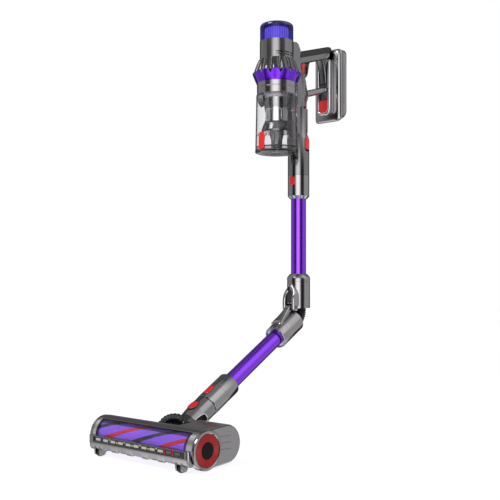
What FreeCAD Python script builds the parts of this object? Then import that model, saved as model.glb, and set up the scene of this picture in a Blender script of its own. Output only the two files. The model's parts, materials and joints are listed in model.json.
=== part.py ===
"""Cordless stick vacuum with a folding wand, as separate sub-parts.

Millimetres. X is across the cleaner head, -Y is forwards, +Z is up, the floor is z = 0.
The wand hangs on the vertical axis x = 0, y = WAND_Y, and folds forwards at its elbow.
Everything below the elbow is drawn straight, on the same vertical axis, and then bent
about the hinge pin by BEND.
"""
import FreeCAD
import Part

import math
import os

# ---- driving dimensions ----
TUBE_R = 17.5            # wand tube, outside
TUBE_WALL = 1.5
WAND_Y = 178.0           # upper wand axis
UNIT_Y = 95.4            # axis of filter, motor, cyclone and bin
BEND = 61.0              # elbow angle at rest
PIN_Y = 145.0            # elbow hinge pin
PIN_Z = 280.2
PIN_R = 3.0
COLLAR_R = 25.0
SOCKET_R = 26.5
TUBE_FIT = 0.1           # radial gap round a tube in its socket
SPLIT_Z = 277.5          # elbow split plane when the wand is straight
SPLIT_GAP = 0.4
LATCH_PIVOT = (149.0, 321.0)     # elbow release lever

SEAM_Z = 584.0           # wand collar meets the main unit
UPPER_TUBE = (341.0, 574.0)
LOWER_TUBE = (10.0, 216.0)
COLLAR_LOW = (-58.8, 29.2)
PIVOT_Z = -138.3         # neck pivot, measured on the straight wand
NECK_END = -118.0        # neck pipe ends, yoke begins

TRUNNION_R = 1.4         # stub axles of levers and trigger

HEAD_HALF = 141.0
ROLL_Y = -284.0          # roller axis
ROLL_Z = 37.0
SHELL_R = 36.0           # roller chamber, outside
CHAMBER_R = 34.6
NAP_R = 34.0
CORE_R = 28.0
CORE_WALL = 2.5
DRUM_Y = -228.0          # motor drum behind the roller, right side
DRUM_Z = 40.0
REAR_Y = -226.0          # smaller rear body, left side
REAR_Z = 31.0
REAR_R = 27.0
SHAFT_R = 4.0
WHEEL_R = 6.0
FRONT_WHEELS = (110.0, -320.0)   # half spacing, y
REAR_WHEELS = (96.0, -227.0)

BIN_TOP = 755.6
BIN_LOW = 638.6
BIN_WALL = 2.2
LID_HINGE = (147.6, 633.0)
LID_LATCH = (43.8, 662.0)     # pivot
HOUSING_R = 38.0
SPINE_BORE_R = 17.8
CAP_R = 37.3

GRIP_SLOPE = 17.8
GRIP_MID = (175.7, 857.0)
GRIP_HALF = 16.0
GRIP_HIGH = 29.0
BATTERY = (38.0, 295.0, 328.0, 726.0, 903.0)   # half width, front, back, bottom, top
TRIGGER_PIVOT = (180.0, 850.0)
FOOT_HALF = 20.0
FOOT_FRONT = 277.0

SIDES = (-1, 1)
X_AXIS = FreeCAD.Vector(1, 0, 0)
Y_AXIS = FreeCAD.Vector(0, 1, 0)
Z_AXIS = FreeCAD.Vector(0, 0, 1)


# ---- helpers ----
def vec(x, y, z):
    return FreeCAD.Vector(x, y, z)


def box(x0, x1, y0, y1, z0, z1):
    return Part.makeBox(x1 - x0, y1 - y0, z1 - z0, vec(x0, y0, z0))


def disc(radius, z0, z1, y, x=0.0):
    """Upright cylinder on the axis (x, y)."""
    return Part.makeCylinder(radius, z1 - z0, vec(x, y, z0), Z_AXIS)


def bar(radius, x0, x1, y, z):
    """Cylinder lying along X."""
    return Part.makeCylinder(radius, x1 - x0, vec(x0, y, z), X_AXIS)


def turned(profile, y):
    """Solid of revolution of a closed (radius, z) profile about the upright axis (0, y)."""
    points = [vec(radius, y, z) for radius, z in profile]
    face = Part.Face(Part.makePolygon(points + points[:1]))
    return face.revolve(vec(0, y, 0), Z_AXIS, 360)


def sleeve(profile, y, wall):
    """Thin turned wall: an outer (radius, z) line, offset inwards."""
    inner = [(radius - wall, z) for radius, z in reversed(profile)]
    return turned(list(profile) + inner, y)


def slab(outline, x0, x1):
    """Prism along X of a closed (y, z) outline."""
    points = [vec(x0, y, z) for y, z in outline]
    face = Part.Face(Part.makePolygon(points + points[:1]))
    return face.extrude(vec(x1 - x0, 0, 0))


def pad(half_x, y0, y1, z0, z1, radius, middle_x=0.0):
    """Rounded plate facing Y: a box whose four edges along Y are rounded."""
    plate = box(middle_x - half_x, middle_x + half_x, y0, y1, z0, z1)
    return rounded(plate, radius, lambda edge: along(edge, Y_AXIS))


def along(edge, axis):
    """True for a straight edge that runs along the axis."""
    if len(edge.Vertexes) != 2:
        return False
    step = edge.Vertexes[1].Point - edge.Vertexes[0].Point
    return step.Length > 0.01 and abs(abs(step.normalize().dot(axis)) - 1) < 1e-6


def rounded(shape, radius, wanted=None):
    """Fillet the wanted edges."""
    edges = [edge for edge in shape.Edges if wanted is None or wanted(edge)]
    return shape.makeFillet(radius, edges)


def ends_of(axis_coordinate, values):
    """Edge test: the whole edge lies at one of the given heights."""
    def test(edge):
        low = getattr(edge.BoundBox, axis_coordinate + "Min")
        high = getattr(edge.BoundBox, axis_coordinate + "Max")
        return any(abs(low - value) < 0.01 and abs(high - value) < 0.01 for value in values)
    return test


def joined(*shapes):
    whole = shapes[0]
    for shape in shapes[1:]:
        whole = whole.fuse(shape)
    return whole.removeSplitter()


def less(shape, *tools):
    for tool in tools:
        shape = shape.cut(tool)
    return shape


def bent(shape):
    """Fold a piece of the lower wand forwards about the hinge pin."""
    shape = shape.copy()
    shape.rotate(vec(0, PIN_Y, PIN_Z), X_AXIS, -BEND)
    return shape


def capsule(ya, za, ra, yb, zb, rb):
    """Outline in (y, z) of the hull of two circles, as a polygon with round ends."""
    gap = math.hypot(yb - ya, zb - za)
    heading = math.atan2(zb - za, yb - ya)
    lean = math.acos((ra - rb) / gap)
    steps = 24
    points = []
    for middle_y, middle_z, radius, start, sweep in (
            (ya, za, ra, heading + lean, 2 * math.pi - 2 * lean),
            (yb, zb, rb, heading - lean, 2 * lean)):
        for step in range(steps + 1):
            angle = start + sweep * step / steps
            points.append((middle_y + radius * math.cos(angle), middle_z + radius * math.sin(angle)))
    return points


def save(name, shape):
    if shape.ShapeType == "Compound" and len(shape.Solids) == 1:
        shape = shape.Solids[0]
    shape.exportStep("parts/" + name + ".step")


# ---- main unit: filter, motor, cyclone ----
def filter_parts():
    cap = sleeve([(CAP_R, 875.4), (CAP_R, 906.0), (CAP_R - 2.5, 911.5), (CAP_R - 7.0, 914.0)], UNIT_Y, 2.0)
    roof = disc(CAP_R - 7.2, 911.6, 914.0, UNIT_Y)
    neck = less(disc(33.6, 869.0, 878.0, UNIT_Y), disc(20.0, 868.0, 879.0, UNIT_Y))
    base = joined(neck, less(disc(CAP_R - 2.0, 875.4, 878.0, UNIT_Y), disc(20.0, 875.0, 879.0, UNIT_Y)))
    save("filter_cap", joined(cap, roof, base))
    pleats = []
    folds = 40
    for step in range(2 * folds):
        angle = math.pi * step / folds
        radius = 33.5 if step % 2 else 28.0
        pleats.append(vec(radius * math.cos(angle), UNIT_Y + radius * math.sin(angle), 878.4))
    star = Part.Face(Part.makePolygon(pleats + pleats[:1])).extrude(vec(0, 0, 29.6))
    save("filter_pleats", less(star, disc(22.0, 878.0, 909.0, UNIT_Y)))


def motor_parts():
    shell = turned([(HOUSING_R, 834.4), (HOUSING_R, 875.0), (34.0, 875.0), (34.0, 868.4),
                    (35.6, 866.0), (35.6, 834.4)], UNIT_Y)
    for row_z in (840.3, 845.6):
        for start in (-54.5, -27.0, 0.5):
            low, high = row_z - 1.2, row_z + 1.2
            corners = [vec(30, 0, low), vec(42, 0, low), vec(42, 0, high), vec(30, 0, high), vec(30, 0, low)]
            slot = Part.Face(Part.makePolygon(corners))
            slot = slot.revolve(vec(0, 0, 0), Z_AXIS, 22.0)
            slot.rotate(vec(0, 0, 0), Z_AXIS, start)
            slot.translate(vec(0, UNIT_Y, 0))
            shell = shell.cut(slot)
    save("motor_housing", shell)
    flange = disc(35.5, 836.0, 839.0, UNIT_Y)
    stator = less(joined(disc(24.0, 836.0, 862.0, UNIT_Y), flange), disc(2.1, 830.0, 870.0, UNIT_Y))
    save("motor_stator", stator)
    shaft = disc(2.05, 815.0, 866.0, UNIT_Y)
    wheel = [disc(7.0, 815.0, 829.0, UNIT_Y), disc(21.0, 815.0, 817.0, UNIT_Y)]
    blades = 9
    for step in range(blades):
        blade = box(5.0, 20.5, -0.7, 0.7, 816.0, 828.0)
        blade.rotate(vec(0, 0, 0), Z_AXIS, 360.0 * step / blades)
        blade.translate(vec(0, UNIT_Y, 0))
        wheel.append(blade)
    save("impeller", joined(shaft, *wheel))


def cyclone_parts():
    skirt = turned([(HOUSING_R, 834.0), (47.0, 820.0), (51.5, 806.0), (51.5, 803.0), (24.0, 803.0),
                    (24.0, 806.0), (36.0, 808.0), (35.0, 834.0)], UNIT_Y)
    cones = []
    count = 14
    for step in range(count):
        cone = Part.makeCone(9.6, 3.2, 32.0, vec(43.6, 0, 803.0), Z_AXIS)
        cone.rotate(vec(43.6, 0, 803.0), Y_AXIS, -15.0)
        cone.rotate(vec(0, 0, 0), Z_AXIS, 360.0 * (step + 0.5) / count)
        cone.translate(vec(0, UNIT_Y, 0))
        cones.append(cone)
    whole = joined(skirt, *cones)
    hollow = turned([(0, 790.0), (60.0, 790.0), (60.0, 803.0), (0, 803.0)], UNIT_Y)
    whole = less(whole, hollow, disc(60.0, 834.1, 850.0, UNIT_Y), disc(24.0, 800.0, 812.0, UNIT_Y),
                 disc(34.9, 808.0, 840.0, UNIT_Y), box(-30, 30, 151.6, 170, 800, 840))
    save("cyclone_cones", whole)
    outer = []
    lobes = 14
    for z, radius in ((782.0, 45.8), (802.6, 54.2)):
        ring = []
        for step in range(lobes * 4):
            angle = 2 * math.pi * step / (lobes * 4)
            wave = radius - (1.3 if step % 4 == 2 else 0.4 if step % 2 else 0.0)
            ring.append(vec(wave * math.cos(angle), UNIT_Y + wave * math.sin(angle), z))
        outer.append(Part.makePolygon(ring + ring[:1]))
    crown = Part.makeLoft(outer, True, True)
    inside = turned([(0, 781.0), (41.0, 781.0), (48.6, 803.0), (0, 803.0)], UNIT_Y)
    save("cyclone_ring", less(crown, inside))
    collar = turned([(44.5, 756.0), (44.5, 769.5), (43.7, 770.0), (43.7, 771.0), (44.5, 771.5),
                     (44.5, 781.7), (20.0, 781.7), (20.0, 778.0), (40.5, 778.0), (40.5, 756.0)], UNIT_Y)
    save("cyclone_collar", collar)
    frame = turned([(40.2, 757.0), (40.2, 754.4), (31.0, 754.4), (29.0, 748.0), (27.2, 725.4),
                    (21.0, 725.4), (23.5, 750.0), (23.5, 757.0)], UNIT_Y)
    save("shroud_frame", frame)
    mesh = less(disc(27.0, 695.4, 725.0, UNIT_Y), disc(24.6, 690.0, 730.0, UNIT_Y))
    for step in range(8):
        gap = box(20.0, 30.0, -7.5, 7.5, 698.5, 722.0)
        gap.rotate(vec(0, 0, 0), Z_AXIS, 45.0 * step)
        gap.translate(vec(0, UNIT_Y, 0))
        mesh = mesh.cut(gap)
    screen = less(disc(25.2, 695.4, 725.0, UNIT_Y), disc(24.6, 690.0, 730.0, UNIT_Y))
    save("shroud_mesh", joined(mesh, screen))
    skirt_low = turned([(27.0, 695.0), (30.0, 690.0), (35.0, 676.0), (35.0, 672.0), (17.0, 672.0),
                        (17.0, 676.0), (24.0, 688.0), (24.0, 695.0)], UNIT_Y)
    save("shroud_skirt", skirt_low)
    core = turned([(16.6, 694.0), (16.6, 672.0), (12.5, 655.0), (12.5, 639.5), (10.5, 639.5),
                   (10.5, 655.0), (14.6, 672.0), (14.6, 694.0)], UNIT_Y)
    save("core_tube", core)


# ---- bin and lid ----
def bin_parts():
    wall = sleeve([(45.8, BIN_TOP), (48.0, BIN_LOW)], UNIT_Y, BIN_WALL)
    window = box(-12.5, 12.5, 130.0, 150.0, 709.0, 737.0)
    ears = [box(x - 2.6, x + 2.6, 140.6, 150.2, 629.8, 643.0) for x in (-12.0, 12.0)]
    below_lid = box(-20.0, 20.0, 139.0, 144.4, 629.0, 634.0)
    round_lid = disc(48.8, 620.0, 638.5, UNIT_Y)
    ears = [less(ear, disc(47.0, 620.0, 650.0, UNIT_Y), round_lid, below_lid) for ear in ears]
    lugs = [box(x - 1.5, x + 1.5, 41.2, 51.5, LID_LATCH[1] - 3.6, LID_LATCH[1] + 3.6) for x in (-9.8, 9.8)]
    lugs = [less(lug, disc(46.5, 600.0, 700.0, UNIT_Y)) for lug in lugs]
    whole = less(joined(less(wall, window), *(ears + lugs)), bar(1.6, -20.0, 20.0, *LID_HINGE),
                 bar(TRUNNION_R + 0.06, -12.0, 12.0, *LID_LATCH))
    save("bin", whole)
    save("lid_hinge_pin", bar(1.58, -15.0, 15.0, *LID_HINGE))
    plate = turned([(0, 626.0), (44.0, 626.0), (48.2, 628.5), (48.2, 636.4), (45.4, 636.4),
                    (45.4, 629.4), (0, 629.0)], UNIT_Y)
    ring = less(disc(20.0, 628.5, 635.0, UNIT_Y), disc(17.4, 620.0, 640.0, UNIT_Y))
    for step in range(12):
        hole = Part.makeCylinder(1.6, 60.0, vec(-30, 0, 632.2), X_AXIS)
        hole.rotate(vec(0, 0, 0), Z_AXIS, 15.0 * step)
        hole.translate(vec(0, UNIT_Y, 0))
        ring = ring.cut(hole)
    knuckle = joined(bar(2.9, -9.0, 9.0, *LID_HINGE), box(-9.0, 9.0, 141.6, LID_HINGE[0], 630.2, 633.4))
    knuckle = less(knuckle, bar(1.62, -20.0, 20.0, *LID_HINGE))
    hook = box(-5.0, 5.0, 44.6, 48.6, 628.6, 634.6)
    save("lid", joined(plate, ring, knuckle, hook))
    save("lid_seal", less(disc(47.6, 636.6, 638.3, UNIT_Y), disc(44.6, 636.0, 639.0, UNIT_Y)))
    outline = [(46.2, 666.5), (43.4, 667.5), (41.0, 660.0), (39.8, 646.0), (39.6, 630.0), (43.4, 630.0),
               (43.4, 634.6), (42.6, 646.0), (44.0, 655.0), (46.2, 659.0)]
    lever = rounded(slab(outline, -8.0, 8.0), 1.2, ends_of("X", (-8.0, 8.0)))
    save("lid_latch", joined(lever, bar(TRUNNION_R, -11.0, 11.0, *LID_LATCH)))


# ---- spine ----

def slider_block(half, depth_x, z0, z1):
    """Upright pill facing +X on the spine's right side."""
    block = pad(half, depth_x, 30.0, z0, z1, half - 0.3)
    block.rotate(vec(0, 0, 0), Z_AXIS, -90.0)
    block.translate(vec(0, WAND_Y, 0))
    return block


def spine_parts():
    stem = turned([(COLLAR_R, SEAM_Z + 0.5), (COLLAR_R, 668.0), (20.0, 682.0), (20.0, 752.0), (0, 752.0),
                   (0, SEAM_Z + 0.5)], WAND_Y)
    front = rounded(box(-15.0, 15.0, 146.6, WAND_Y, 678.0, 782.0), 4.0, lambda edge: along(edge, Z_AXIS))
    back = slab([(150.0, 740.0), (150.0, 780.0), (152.6, 806.0), (152.6, 832.6), (136.6, 838.0),
                 (136.6, 884.0), (152.0, 887.0), (160.0, 884.0), (168.0, 872.0), (168.0, 838.0),
                 (171.0, 825.0), (183.0, 811.5), (194.0, 806.0), (198.0, 780.0), (198.0, 740.0)], -17.0, 17.0)
    back = rounded(back, 4.0, ends_of("X", (-17.0, 17.0)))
    web = slab([(180.0, 815.0), (189.0, 812.0), (205.0, 780.0), (204.5, 768.0), (196.0, 752.0),
                (180.0, 752.0)], -12.0, 12.0)
    web = rounded(web, 2.0, ends_of("X", (-12.0, 12.0)))
    whole = joined(stem, front, back, web)
    duct = joined(disc(SPINE_BORE_R, 560.0, 735.0, WAND_Y),
                  Part.makeSphere(SPINE_BORE_R, vec(0, WAND_Y, 735.0)))
    whole = less(whole, duct, box(-13.2, 13.2, 130.0, WAND_Y, 708.2, 737.8),
                 disc(HOUSING_R + 0.3, 830.0, 890.0, UNIT_Y), disc(45.0, 750.0, 783.0, UNIT_Y),
                 turned([(46.2, 781.9), (55.0, 803.2), (55.0, 834.0), (0, 834.0), (0, 781.9)], UNIT_Y),
                 slider_block(8.4, 18.6, 638.6, 673.4),
                 box(-12.0, 12.0, 150.0, 167.0, 844.0, 872.0))
    save("spine_casing", whole)
    duct_outer = box(-13.0, 13.0, 142.9, 163.6, 708.4, 737.6)
    save("inlet_duct", less(duct_outer, box(-11.4, 11.4, 130.0, 170.0, 710.0, 736.0)))
    arc = less(disc(21.2, 684.0, 739.5, WAND_Y), disc(20.2, 680.0, 760.0, WAND_Y))
    behind = slab([(WAND_Y + 11.0, 680.0), (WAND_Y + 30.0, 680.0), (WAND_Y + 30.0, 751.0),
                   (WAND_Y + 11.0, 751.0)], -30.0, 30.0)
    strip = arc.common(behind)
    line = slab(strut_outline(-8.9, -7.7, 213.0, 262.0), -8.0, 8.0)
    save("trim_strip", Part.makeCompound([strip, line]))
    slider = slider_block(8.0, 19.0, 643.0, 673.0)
    save("bin_release", slider.common(disc(25.8, 640.0, 680.0, WAND_Y)))


# ---- handle ----
def grip_z(y, offset):
    """Height of a line parallel to the grip, offset upwards from its middle."""
    return GRIP_MID[1] + (y - GRIP_MID[0]) * math.tan(math.radians(GRIP_SLOPE)) + offset


def strut_outline(low, high, y0, y1):
    slope = math.tan(math.radians(GRIP_SLOPE))
    return [(y0, 780.0 + (y0 - 205.0) * slope + low), (y1, 780.0 + (y1 - 205.0) * slope + low),
            (y1, 780.0 + (y1 - 205.0) * slope + high), (y0, 780.0 + (y0 - 205.0) * slope + high)]


def handle_parts():
    half = GRIP_HIGH / 2 / math.cos(math.radians(GRIP_SLOPE))
    rear = 290.0
    low = slab([(168.5, grip_z(168.5, -half)), (rear, grip_z(rear, -half)), (rear, grip_z(rear, -0.2)),
                (168.5, grip_z(168.5, -0.2))], -GRIP_HALF, GRIP_HALF)
    low = rounded(low, 9.0, lambda edge: edge.CenterOfMass.z < grip_z(edge.CenterOfMass.y, -half + 1)
                  and abs(abs(edge.CenterOfMass.x) - GRIP_HALF) < 0.01)
    nose = 168.5
    tail = rear + 4.5
    top = slab([(nose, grip_z(nose, 0.2)), (tail, grip_z(tail, 0.2)), (tail, grip_z(tail, half)),
                (nose, grip_z(nose, half))], -GRIP_HALF, GRIP_HALF)
    top = rounded(top, 10.0, lambda edge: edge.CenterOfMass.z > grip_z(edge.CenterOfMass.y, half - 1)
                  and edge.CenterOfMass.y > 170.0)
    save("grip_cover", top)
    guard = less(slab(capsule(190.0, 842.0, 16.5, 186.0, 828.0, 15.0), -11.0, 11.0),
                 slab(capsule(189.0, 843.0, 13.0, 184.5, 828.0, 12.0), -12.0, 12.0),
                 box(-12, 12, 150, 186.0, 800, 870), box(-12, 12, 180, 215, 852, 880),
                 slab([(180.0, 800.0), (180.0, 816.2), (189.6, 812.6), (206.0, 780.0), (206.0, 770.0)], -12, 12))
    pocket = box(-7.0, 7.0, 172.0, 199.6, 830.0, grip_z(190.0, -4.0))
    low = less(joined(low, guard), pocket, bar(TRUNNION_R + 0.06, -9.3, 9.3, *TRIGGER_PIVOT))
    cavity = slab([(200.0, grip_z(200.0, -10.5)), (262.0, grip_z(262.0, -10.5)), (262.0, grip_z(262.0, -2.2)),
                   (200.0, grip_z(200.0, -2.2))], -12.0, 12.0)
    gusset = slab([(258.0, grip_z(258.0, -half + 1.0)), (282.0, 838.0), (282.0, grip_z(282.0, -half + 3.0))],
                  -12.0, 12.0)
    low = less(joined(low, gusset), cavity, box(-30, 30, FOOT_FRONT - 0.3, 320, 700, 874.6),
               box(-30, 30, rear - 0.1, 320, 700, 920))
    save("grip_frame", low)
    plate = slab([(206.0, grip_z(206.0, -9.0)), (256.0, grip_z(256.0, -9.0)), (256.0, grip_z(256.0, -7.4)),
                  (206.0, grip_z(206.0, -7.4))], -10.0, 10.0)
    chips = [slab([(y, grip_z(y, -7.4)), (y + 8, grip_z(y + 8, -7.4)), (y + 8, grip_z(y + 8, -5.0)),
                   (y, grip_z(y, -5.0))], -5.0, 5.0) for y in (211.0, 226.0, 241.0)]
    save("circuit_board", joined(plate, *chips))
    blade = slab([(175.0, 853.0), (196.0, 853.0), (195.5, 842.0), (192.0, 829.0), (188.5, 822.5),
                  (184.5, 821.5), (187.0, 829.0), (185.5, 838.0), (179.0, 845.0), (175.0, 847.0)], -6.0, 6.0)
    blade = rounded(blade, 1.5, ends_of("X", (-6.0, 6.0)))
    save("trigger", joined(blade, bar(TRUNNION_R, -9.0, 9.0, *TRIGGER_PIVOT)))
    beam = slab(strut_outline(-7.4, 6.2, 205.6, FOOT_FRONT - 0.3), -12.0, 12.0)
    save("strut", rounded(beam, 3.4, lambda edge: abs(abs(edge.CenterOfMass.x) - 12.0) < 0.01
                          and abs(edge.tangentAt(edge.FirstParameter).y) > 0.5))
    foot_parts()


def foot_parts():
    half_x, front, back, low, high = BATTERY
    plate = pad(FOOT_HALF, FOOT_FRONT, front - 0.4, 741.0, 874.2, 19.0)
    plate = rounded(plate, 3.0, ends_of("Y", (FOOT_FRONT,)))
    seat = pad(14.2, 270.0, 291.5, 745.8, 779.2, 8.0)
    recess = pad(14.2, 270.0, 281.0, 770.0, 787.0, 5.0)
    plate = less(plate, seat, recess)
    save("handle_foot", plate)
    cap = pad(13.4, 278.6, 289.0, 747.0, 778.0, 7.4)
    save("battery_button", rounded(cap, 1.6, ends_of("Y", (278.6,))))
    block = box(-half_x, half_x, front, back, low, high)
    under = [(front - 1, low - 1), (front + 4, low - 1), (back + 1, low + 18), (back + 1, low - 2)]
    block = less(block, slab(under, -half_x - 1, half_x + 1))
    block = rounded(block, 10.0, lambda edge: along(edge, Y_AXIS))
    block = rounded(block, 5.0, ends_of("Y", (front, back)))
    inner = box(-half_x + 3, half_x - 3, front + 3, back - 3, low + 34, high - 8)
    socket = Part.makeCylinder(2.8, 12.0, vec(0, back - 10, 752.0), Y_AXIS)
    save("battery_case", less(block, inner, socket))
    cells = []
    for row in (-1, 0, 1):
        for level in (762.0, 828.5):
            cells.append(disc(9.2, level, level + 65.0, (front + back) / 2, 20.0 * row))
    save("battery_cells", Part.makeCompound(cells))


# ---- wand, drawn straight ----
def tube(z0, z1):
    return less(disc(TUBE_R, z0, z1, WAND_Y), disc(TUBE_R - TUBE_WALL, z0 - 1, z1 + 1, WAND_Y))


def pill(face_y, z0, z1, half_x, depth):
    """Button cap and its pocket on the front of a collar."""
    cap = pad(half_x, face_y, face_y + depth, z0, z1, half_x - 0.2)
    cap = rounded(cap, 1.4, ends_of("Y", (face_y,)))
    pocket = pad(half_x + 0.4, face_y - 5, face_y + depth + 2.4, z0 - 0.4, z1 + 0.4, half_x + 0.2)
    return cap, pocket


def wand_parts():
    top = turned([(TUBE_R + TUBE_FIT + 0.4, 530.5), (19.6, 530.5), (COLLAR_R, 537.0), (COLLAR_R, SEAM_Z),
                  (15.9, SEAM_Z), (15.9, 575.0), (TUBE_R + TUBE_FIT, 575.0), (TUBE_R + TUBE_FIT, 530.5)], WAND_Y)
    cap, pocket = pill(WAND_Y - COLLAR_R - 0.6, 560.0, 582.0, 7.0, 4.6)
    save("wand_collar_top", less(top, pocket))
    save("wand_button_top", cap)
    save("upper_tube", tube(*UPPER_TUBE))
    socket = turned([(19.4, 357.0), (SOCKET_R, 349.0), (SOCKET_R, SPLIT_Z), (19.0, SPLIT_Z), (19.0, 340.0),
                     (TUBE_R + TUBE_FIT, 340.6), (TUBE_R + TUBE_FIT, 357.0)], WAND_Y)
    arm = slab([(154.5, 334.0), (147.0, 322.0), (138.6, 300.0), (136.6, 281.0), (140.0, 273.6), (147.0, 271.8),
                (152.2, 277.0), (160.0, 278.0), (163.0, 334.0)], 8.0, 16.5)
    arm = rounded(arm, 2.2, ends_of("X", (8.0, 16.5)))
    arms = [arm, arm.mirror(vec(0, 0, 0), X_AXIS)]
    knuckle_room = bar(9.0, -7.9, 7.9, PIN_Y, PIN_Z)
    bore = disc(19.0, 270.0, 340.0, WAND_Y)
    flex = less(joined(socket, *arms), bore, knuckle_room, bar(PIN_R + 0.02, -20, 20, PIN_Y, PIN_Z),
                bar(TRUNNION_R + 0.06, -10.4, 10.4, *LATCH_PIVOT))
    save("elbow_upper", flex)
    save("elbow_pin", bar(PIN_R, -16.4, 16.4, PIN_Y, PIN_Z))
    lever = slab([(150.6, 326.0), (147.4, 326.0), (142.0, 309.0), (140.4, 293.0), (144.2, 291.0), (146.0, 296.0),
                  (149.2, 312.0)], -6.6, 6.6)
    lever = rounded(lever, 1.2, ends_of("X", (-6.6, 6.6)))
    save("elbow_latch", joined(lever, bar(TRUNNION_R, -10.0, 10.0, *LATCH_PIVOT)))


def lower_wand_parts():
    low_top = SPLIT_Z - SPLIT_GAP
    socket = turned([(SOCKET_R, low_top), (SOCKET_R, 208.9), (19.4, 198.2), (TUBE_R + TUBE_FIT, 198.2),
                     (TUBE_R + TUBE_FIT, 217.0), (19.0, 218.0), (19.0, low_top)], WAND_Y)
    notch = bar(9.4, -17.2, 17.2, PIN_Y, PIN_Z)
    tongue = slab([(137.2, 281.0), (139.0, 286.0), (145.0, 288.0), (151.0, 285.4), (153.4, 277.1),
                   (157.0, 276.0), (157.0, 222.0), (152.4, 216.0), (149.0, 224.0), (140.0, 262.0)], -7.4, 7.4)
    tongue = rounded(tongue, 1.6, ends_of("X", (-7.4, 7.4)))
    whole = less(joined(less(socket, notch), tongue), disc(19.0, 218.0, 300.0, WAND_Y),
                 bar(PIN_R + 0.06, -20, 20, PIN_Y, PIN_Z))
    save("elbow_lower", bent(whole))
    save("lower_tube", bent(tube(*LOWER_TUBE)))
    low, high = COLLAR_LOW
    collar = turned([(TUBE_R + TUBE_FIT, high), (COLLAR_R - 1.5, high), (COLLAR_R, high - 1.5),
                     (COLLAR_R, low), (19.0, low), (19.0, 8.0), (TUBE_R + TUBE_FIT, 9.0)], WAND_Y)
    cap, pocket = pill(WAND_Y - COLLAR_R - 0.6, -50.0, -24.0, 7.0, 4.6)
    save("wand_collar_low", bent(less(collar, pocket)))
    save("wand_button_low", bent(cap))
    neck_top = low - 0.3
    neck = turned([(23.6, neck_top), (24.4, neck_top - 3), (24.4, -92.0), (22.0, NECK_END), (17.0, NECK_END),
                   (17.0, neck_top)], WAND_Y)
    arch = joined(bar(11.0, -40, 40, WAND_Y + 2, -100.0),
                  box(-40, 40, WAND_Y - 9, WAND_Y + 13, -119.0, -100.0))
    arch = less(arch, box(-19, 19, 140, 220, -130, -60))
    cap, pocket = pill(WAND_Y - 24.4 - 0.8, -102.0, -78.0, 8.6, 4.6)
    save("neck_pipe", bent(less(neck, pocket, arch)))
    save("neck_button", bent(cap))


def elbow_hose():
    """Corrugated duct across the elbow: a stack of discs along the bend."""
    radius = 18.4
    start = vec(0, WAND_Y, SPLIT_Z + 4.0)
    rings = [Part.makeCylinder(radius, 6.0, start - Z_AXIS * 2.0, Z_AXIS)]
    steps = 12
    for step in range(steps):
        middle = BEND * (step + 0.5) / steps
        ring = Part.makeCylinder(radius if step % 2 else radius - 2.0, 9.5,
                                 vec(0, WAND_Y, PIN_Z - 4.75), Z_AXIS)
        ring.rotate(vec(0, PIN_Y, PIN_Z), X_AXIS, -middle)
        rings.append(ring)
    whole = joined(*rings)
    return less(whole, bar(WAND_Y - PIN_Y - 23.0, -30, 30, PIN_Y, PIN_Z))


# ---- cleaner head ----
def pivot():
    """Neck pivot on the bent wand, as (y, z)."""
    angle = math.radians(BEND)
    dy = WAND_Y - PIN_Y
    dz = PIVOT_Z - PIN_Z
    return (PIN_Y + dy * math.cos(angle) + dz * math.sin(angle),
            PIN_Z - dy * math.sin(angle) + dz * math.cos(angle))


def neck_parts():
    py, pz = pivot()
    ring = turned([(21.6, NECK_END - 0.5), (21.6, -126.0), (16.0, -134.0), (16.0, NECK_END - 0.5)], WAND_Y)
    arms = [box(x - 3.0, x + 3.0, WAND_Y - 8, WAND_Y + 8, PIVOT_Z, -124.0) for x in (-20.0, 20.0)]
    barrel = [bar(13.0, x - 3.0, x + 3.0, WAND_Y, PIVOT_Z) for x in (-20.0, 20.0)]
    stubs = [bar(SHAFT_R, x - 5.2, x + 5.2, WAND_Y, PIVOT_Z) for x in (-22.2, 22.2)]
    fork = less(joined(ring, *(arms + barrel + stubs)), bar(17.0, -16.9, 16.9, WAND_Y, PIVOT_Z),
                disc(16.0, -140, -110, WAND_Y))
    save("neck_yoke", bent(fork))
    hose = joined(bar(14.4, -15.4, 15.4, py, pz),
                  slab([(py - 30, pz - 22), (py - 10, pz - 14), (py + 2, pz + 10), (py - 26, pz + 12),
                        (py - 36, pz - 2)], -15.4, 15.4))
    save("neck_hose", hose)


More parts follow.
